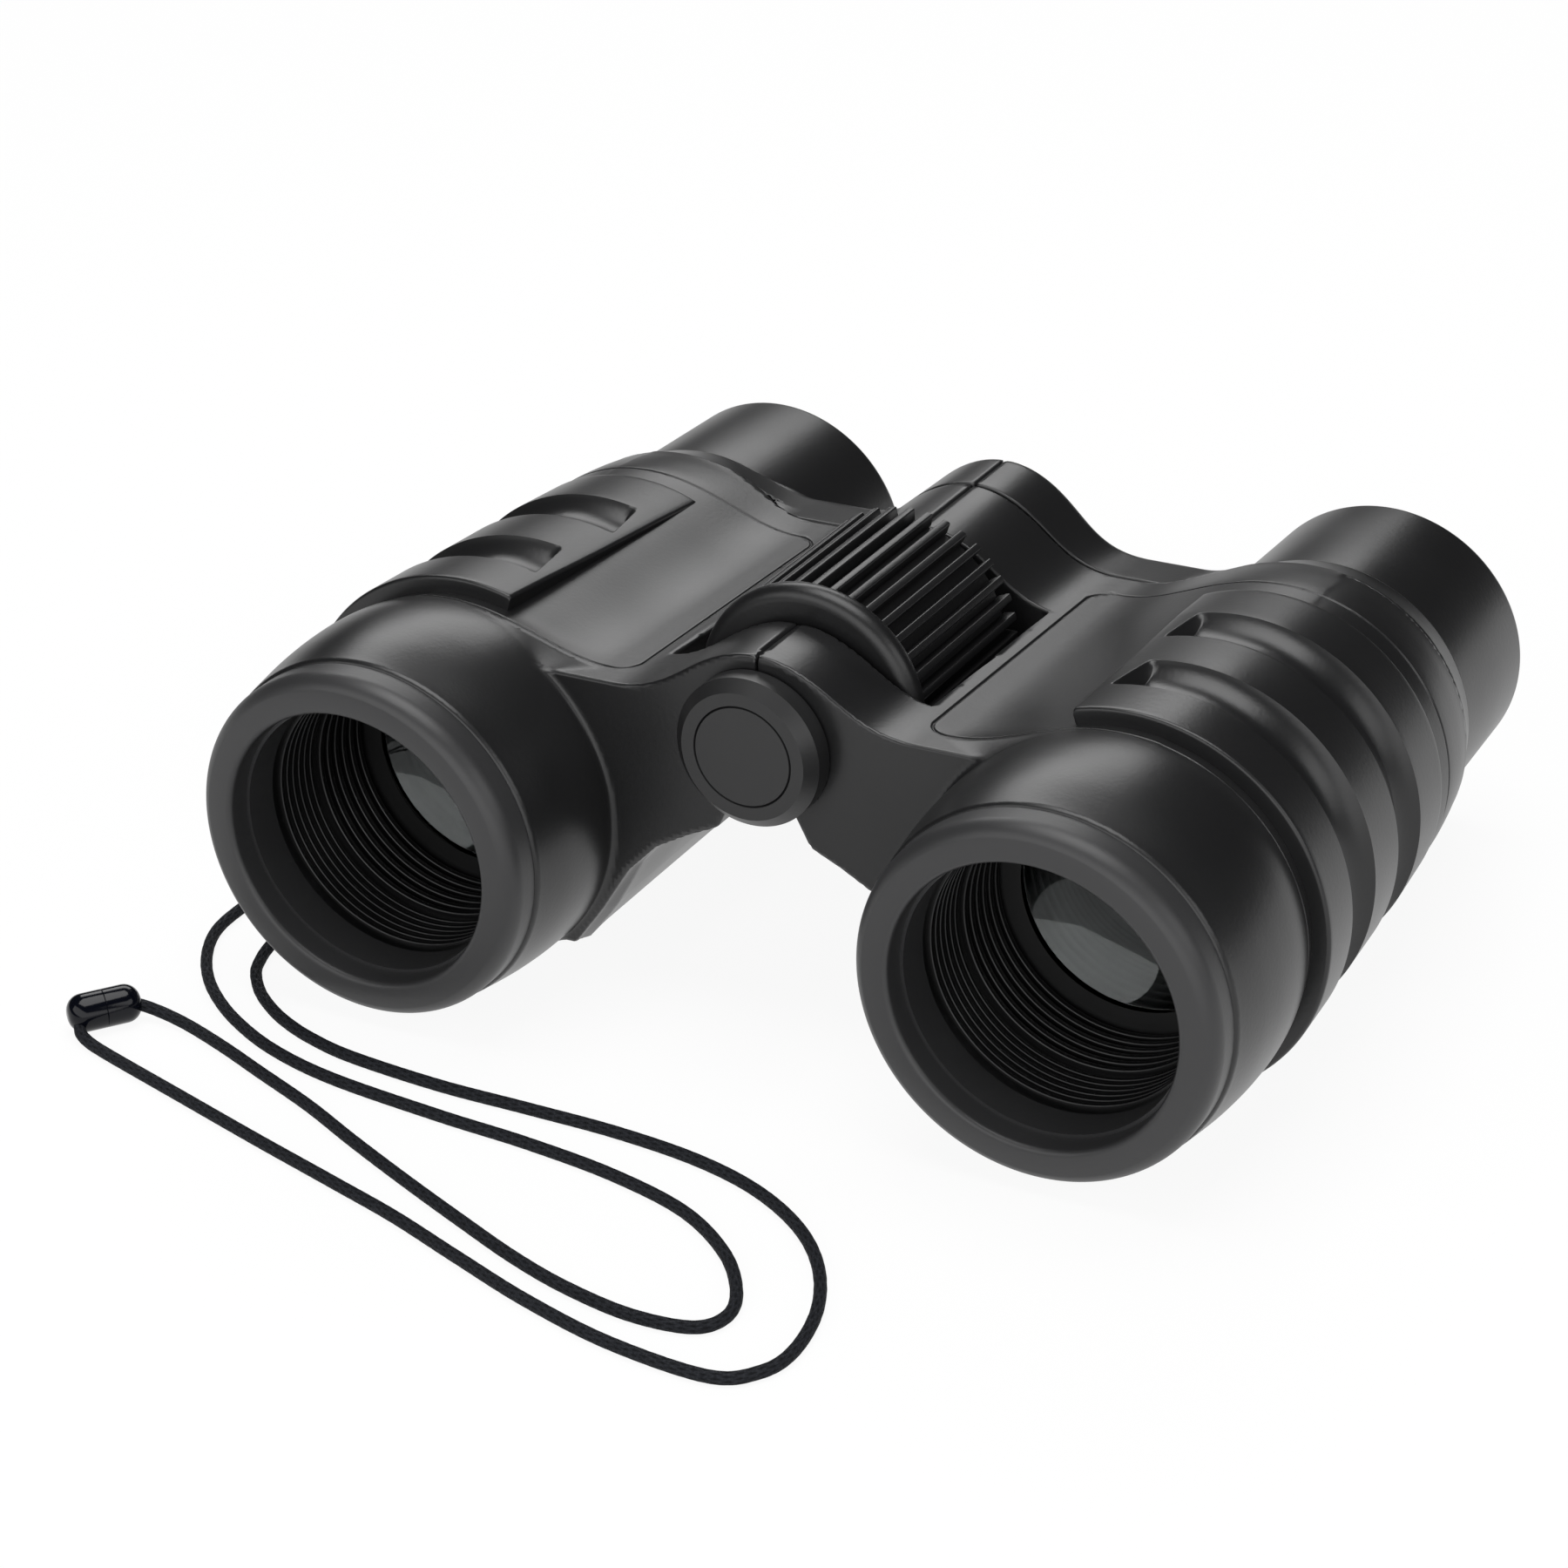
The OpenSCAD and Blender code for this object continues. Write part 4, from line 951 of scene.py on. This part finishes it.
for side, sign in sideSigns.items():
    x = sign * barrelX
    shape = turned(bezelOutline(bezelSpec), bezelSpec["steps"])
    bezel = addPiece(side + "Bezel", *placed(shape, x, axisZ), finish["bezel"])
    settle(bezel, side + "_half", "bezel", side + "_objective_bezel")
    addHood(side, x, hoodSpec)
    lens = addPiece(side + "Lens", *placed(turned(lensOutline(lensSpec)), x, axisZ), finish["glass"])
    settle(lens, side + "_half", "lens_glass", side + "_objective_lens")
    shape = turned(eyepieceOutline(eyeSpec), eyeSpec["steps"])
    tube = addPiece(side + "Eyepiece", *placed(shape, x, axisZ), finish["eyepiece"])
    settle(tube, side + "_ocular", "eyepiece", side + "_eyepiece_tube")
print("turned pieces done")


# Hinge cap and focus wheel

capSpec = {"front": 11.9, "back": 14.7, "radius": 6.9, "bevel": 1.0, "groove": 4.72, "grooveWidth": 0.2,
           "grooveDepth": 0.25, "sharpAngle": 25}
wheelSpec = {"start": 22.9, "flangeStart": 23.2, "flangeEnd": 25.9, "flangeRadius": 10.85, "round": 1.3,
             "roundSteps": 12, "drum": 9.4, "end": 43.2, "hub": 5.0, "hubEnd": 45.3, "bore": 2.58,
             "ribs": 36, "ribHeight": 1.25, "ribWidth": 0.75, "ribLength": 18.4, "ribSink": 0.15, "ribOverlap": 0.6}


def capOutline(spec):
    front, groove = spec["front"], spec["groove"]
    return [(0, front), (groove - spec["grooveWidth"], front),
            (groove - spec["grooveWidth"] / 2, front + spec["grooveDepth"]), (groove, front),
            (spec["radius"] - spec["bevel"], front), (spec["radius"], front + spec["bevel"]),
            (spec["radius"], spec["back"]), (0, spec["back"])]


def drumOutline(spec):
    bow, steps = spec["round"], spec["roundSteps"]
    outer = spec["flangeRadius"] - bow
    return ([(spec["bore"], spec["start"]), (spec["hub"], spec["start"]), (spec["hub"], spec["flangeStart"])]
            + arcPoints((outer, spec["flangeStart"] + bow), bow, -90, 0, steps)
            + arcPoints((outer, spec["flangeEnd"] - bow), bow, 0, 90, steps)
            + [(spec["drum"], spec["flangeEnd"]), (spec["drum"], spec["end"]), (spec["hub"], spec["end"]),
               (spec["hub"], spec["hubEnd"]), (spec["bore"], spec["hubEnd"])])


def ribTree(cornerShare=0.22):
    # round-edged ribs set upright on a circle about the hinge axis
    tree, source, sink = nodeTree("wheelRibs", [
        ("Count", "NodeSocketInt"), ("Radius", "NodeSocketFloat"), ("Height", "NodeSocketFloat"),
        ("Width", "NodeSocketFloat"), ("Length", "NodeSocketFloat"), ("Centre", "NodeSocketVector"),
        ("Finish", "NodeSocketMaterial")])
    new, link = tree.nodes.new, tree.links.new
    circle = new("GeometryNodeMeshCircle")
    link(source.outputs["Count"], circle.inputs["Vertices"])
    link(source.outputs["Radius"], circle.inputs["Radius"])
    end = new("ShaderNodeCombineXYZ")
    link(source.outputs["Length"], end.inputs["Z"])
    bar = new("GeometryNodeCurvePrimitiveLine")
    link(end.outputs[0], bar.inputs["End"])
    height, width = source.outputs["Height"], source.outputs["Width"]
    rib = new("GeometryNodeCurveToMesh")
    rib.inputs["Fill Caps"].default_value = True
    link(bar.outputs["Curve"], rib.inputs["Curve"])
    link(roundedProfile(tree, width, height, width, cornerShare), rib.inputs["Profile Curve"])
    place = new("GeometryNodeInputPosition")
    aim = new("FunctionNodeAlignRotationToVector")
    aim.axis = "Y"
    aim.pivot_axis = "Z"
    link(place.outputs[0], aim.inputs["Vector"])
    ribs = new("GeometryNodeInstanceOnPoints")
    link(circle.outputs["Mesh"], ribs.inputs["Points"])
    link(rib.outputs["Mesh"], ribs.inputs["Instance"])
    link(aim.outputs[0], ribs.inputs["Rotation"])
    turn = new("GeometryNodeTransform")
    turn.inputs["Rotation"].default_value = (-math.pi / 2, 0, 0)
    link(ribs.outputs["Instances"], turn.inputs["Geometry"])
    link(source.outputs["Centre"], turn.inputs["Translation"])
    joinAndPaint(tree, source, sink, turn.outputs["Geometry"])
    return tree


def addWheel(spec):
    wheel = addPiece("focusWheel", *placed(turned(drumOutline(spec)), 0, hingeZ), finish["wheel"])
    bakeNodes(wheel, ribTree(), {
        "Count": spec["ribs"], "Radius": (spec["drum"] + spec["ribHeight"] / 2 - spec["ribSink"]) * mm,
        "Height": spec["ribHeight"] * mm, "Width": spec["ribWidth"] * mm, "Length": spec["ribLength"] * mm,
        "Centre": (0, (frontY + spec["flangeEnd"] - spec["ribOverlap"]) * mm, hingeZ * mm),
        "Finish": finish["wheel"]})
    settle(wheel, "focus_wheel", "focus_wheel", "focus_wheel")


shape = placed(turned(capOutline(capSpec)), 0, hingeZ)
cap = addPiece("hingeCap", *shape, finish["cap"], sharpAngle=capSpec["sharpAngle"])
settle(cap, "left_half", "hinge_cap", "hinge_cap")
addWheel(wheelSpec)
print("hinge cap and wheel done")


# Inner solids that keep their own shape

kept = {"hinge_pin": "steel", "hinge_bush": "steel", "focus_spindle": "steel", "wheel_thread_insert": "brass",
        "spindle_cap": "cap", "strap_lug": "body"}
for side in sideSigns:
    kept.update({side + "_lens_retainer": "hood", side + "_eye_lens": "glass", side + "_eye_lens_ring": "hood"})
for name, paint in kept.items():
    nodes[name].data.materials.clear()
    nodes[name].data.materials.append(finish[paint])


# Floor, lights and backdrop

floorSpec = {"half": 3, "drop": 0.00002, "tone": 0.9, "glow": 0.92}
worldTones = [(0.025, 0.025, 0.025), (1, 1, 1)]
lampTarget = (0, 0, 0.02)
lampSpecs = {
    "backBox": {"place": (-0.42, 0.75, 0.62), "size": (0.7, 0.4), "power": 3.1, "roll": 0},
    "topBox": {"place": (0, 0, 0.8), "size": (0.6, 0.6), "power": 5, "roll": 0},
    "sideBox": {"place": (0.75, -0.1, 0.4), "size": (0.6, 0.4), "power": 1.6, "roll": 0},
    "frontBox": {"place": (0.1, -0.7, 0.3), "size": (2.2, 0.55), "power": 7.5, "roll": -18},
}


def addFloor(spec):
    mesh = bpy.data.meshes.new("studioFloor")
    corners = [(spec["half"] * x, spec["half"] * y, -spec["drop"]) for x, y in ((-1, -1), (1, -1), (1, 1), (-1, 1))]
    mesh.from_pydata(corners, [], [(0, 1, 2, 3)])
    floor = bpy.data.objects.new("studioFloor", mesh)
    bpy.context.scene.collection.objects.link(floor)
    material = bpy.data.materials.new("paleFloor")
    material.use_nodes = True
    tree = material.node_tree
    tree.nodes.clear()
    diffuse = tree.nodes.new("ShaderNodeBsdfDiffuse")
    diffuse.inputs["Color"].default_value = (*[spec["tone"]] * 3, 1)
    glow = tree.nodes.new("ShaderNodeEmission")
    path = tree.nodes.new("ShaderNodeLightPath")
    seen = mathNode(tree, "MAXIMUM", path.outputs["Is Camera Ray"],
                    mathNode(tree, "MAXIMUM", path.outputs["Is Glossy Ray"], path.outputs["Is Transmission Ray"]))
    mix = tree.nodes.new("ShaderNodeMixShader")
    tree.links.new(mathNode(tree, "MULTIPLY", seen, spec["glow"]), mix.inputs["Fac"])
    tree.links.new(diffuse.outputs[0], mix.inputs[1])
    tree.links.new(glow.outputs[0], mix.inputs[2])
    out = tree.nodes.new("ShaderNodeOutputMaterial")
    tree.links.new(mix.outputs[0], out.inputs["Surface"])
    mesh.materials.append(material)


def addLamp(name, spec):
    data = bpy.data.lights.new(name, "AREA")
    data.shape = "RECTANGLE"
    data.size, data.size_y = spec["size"]
    data.energy = spec["power"]
    lamp = bpy.data.objects.new(name, data)
    lamp.location = spec["place"]
    aim = (Vector(lampTarget) - Vector(spec["place"])).to_track_quat("-Z", "Y").to_matrix()
    lamp.rotation_euler = (aim @ Matrix.Rotation(math.radians(spec["roll"]), 3, "Z")).to_euler()
    bpy.context.scene.collection.objects.link(lamp)


def addBackdrop():
    world = bpy.data.worlds.new("studioWorld")
    world.use_nodes = True
    tree = world.node_tree
    path = tree.nodes.new("ShaderNodeLightPath")
    seen = mathNode(tree, "MAXIMUM", path.outputs["Is Camera Ray"], path.outputs["Is Transmission Ray"])
    tree.links.new(tint(tree, seen, *worldTones), tree.nodes["Background"].inputs["Color"])
    bpy.context.scene.world = world


addFloor(floorSpec)
addBackdrop()
for name, spec in lampSpecs.items():
    addLamp(name, spec)
bpy.context.scene.view_settings.view_transform = "Standard"

print("scene ready")
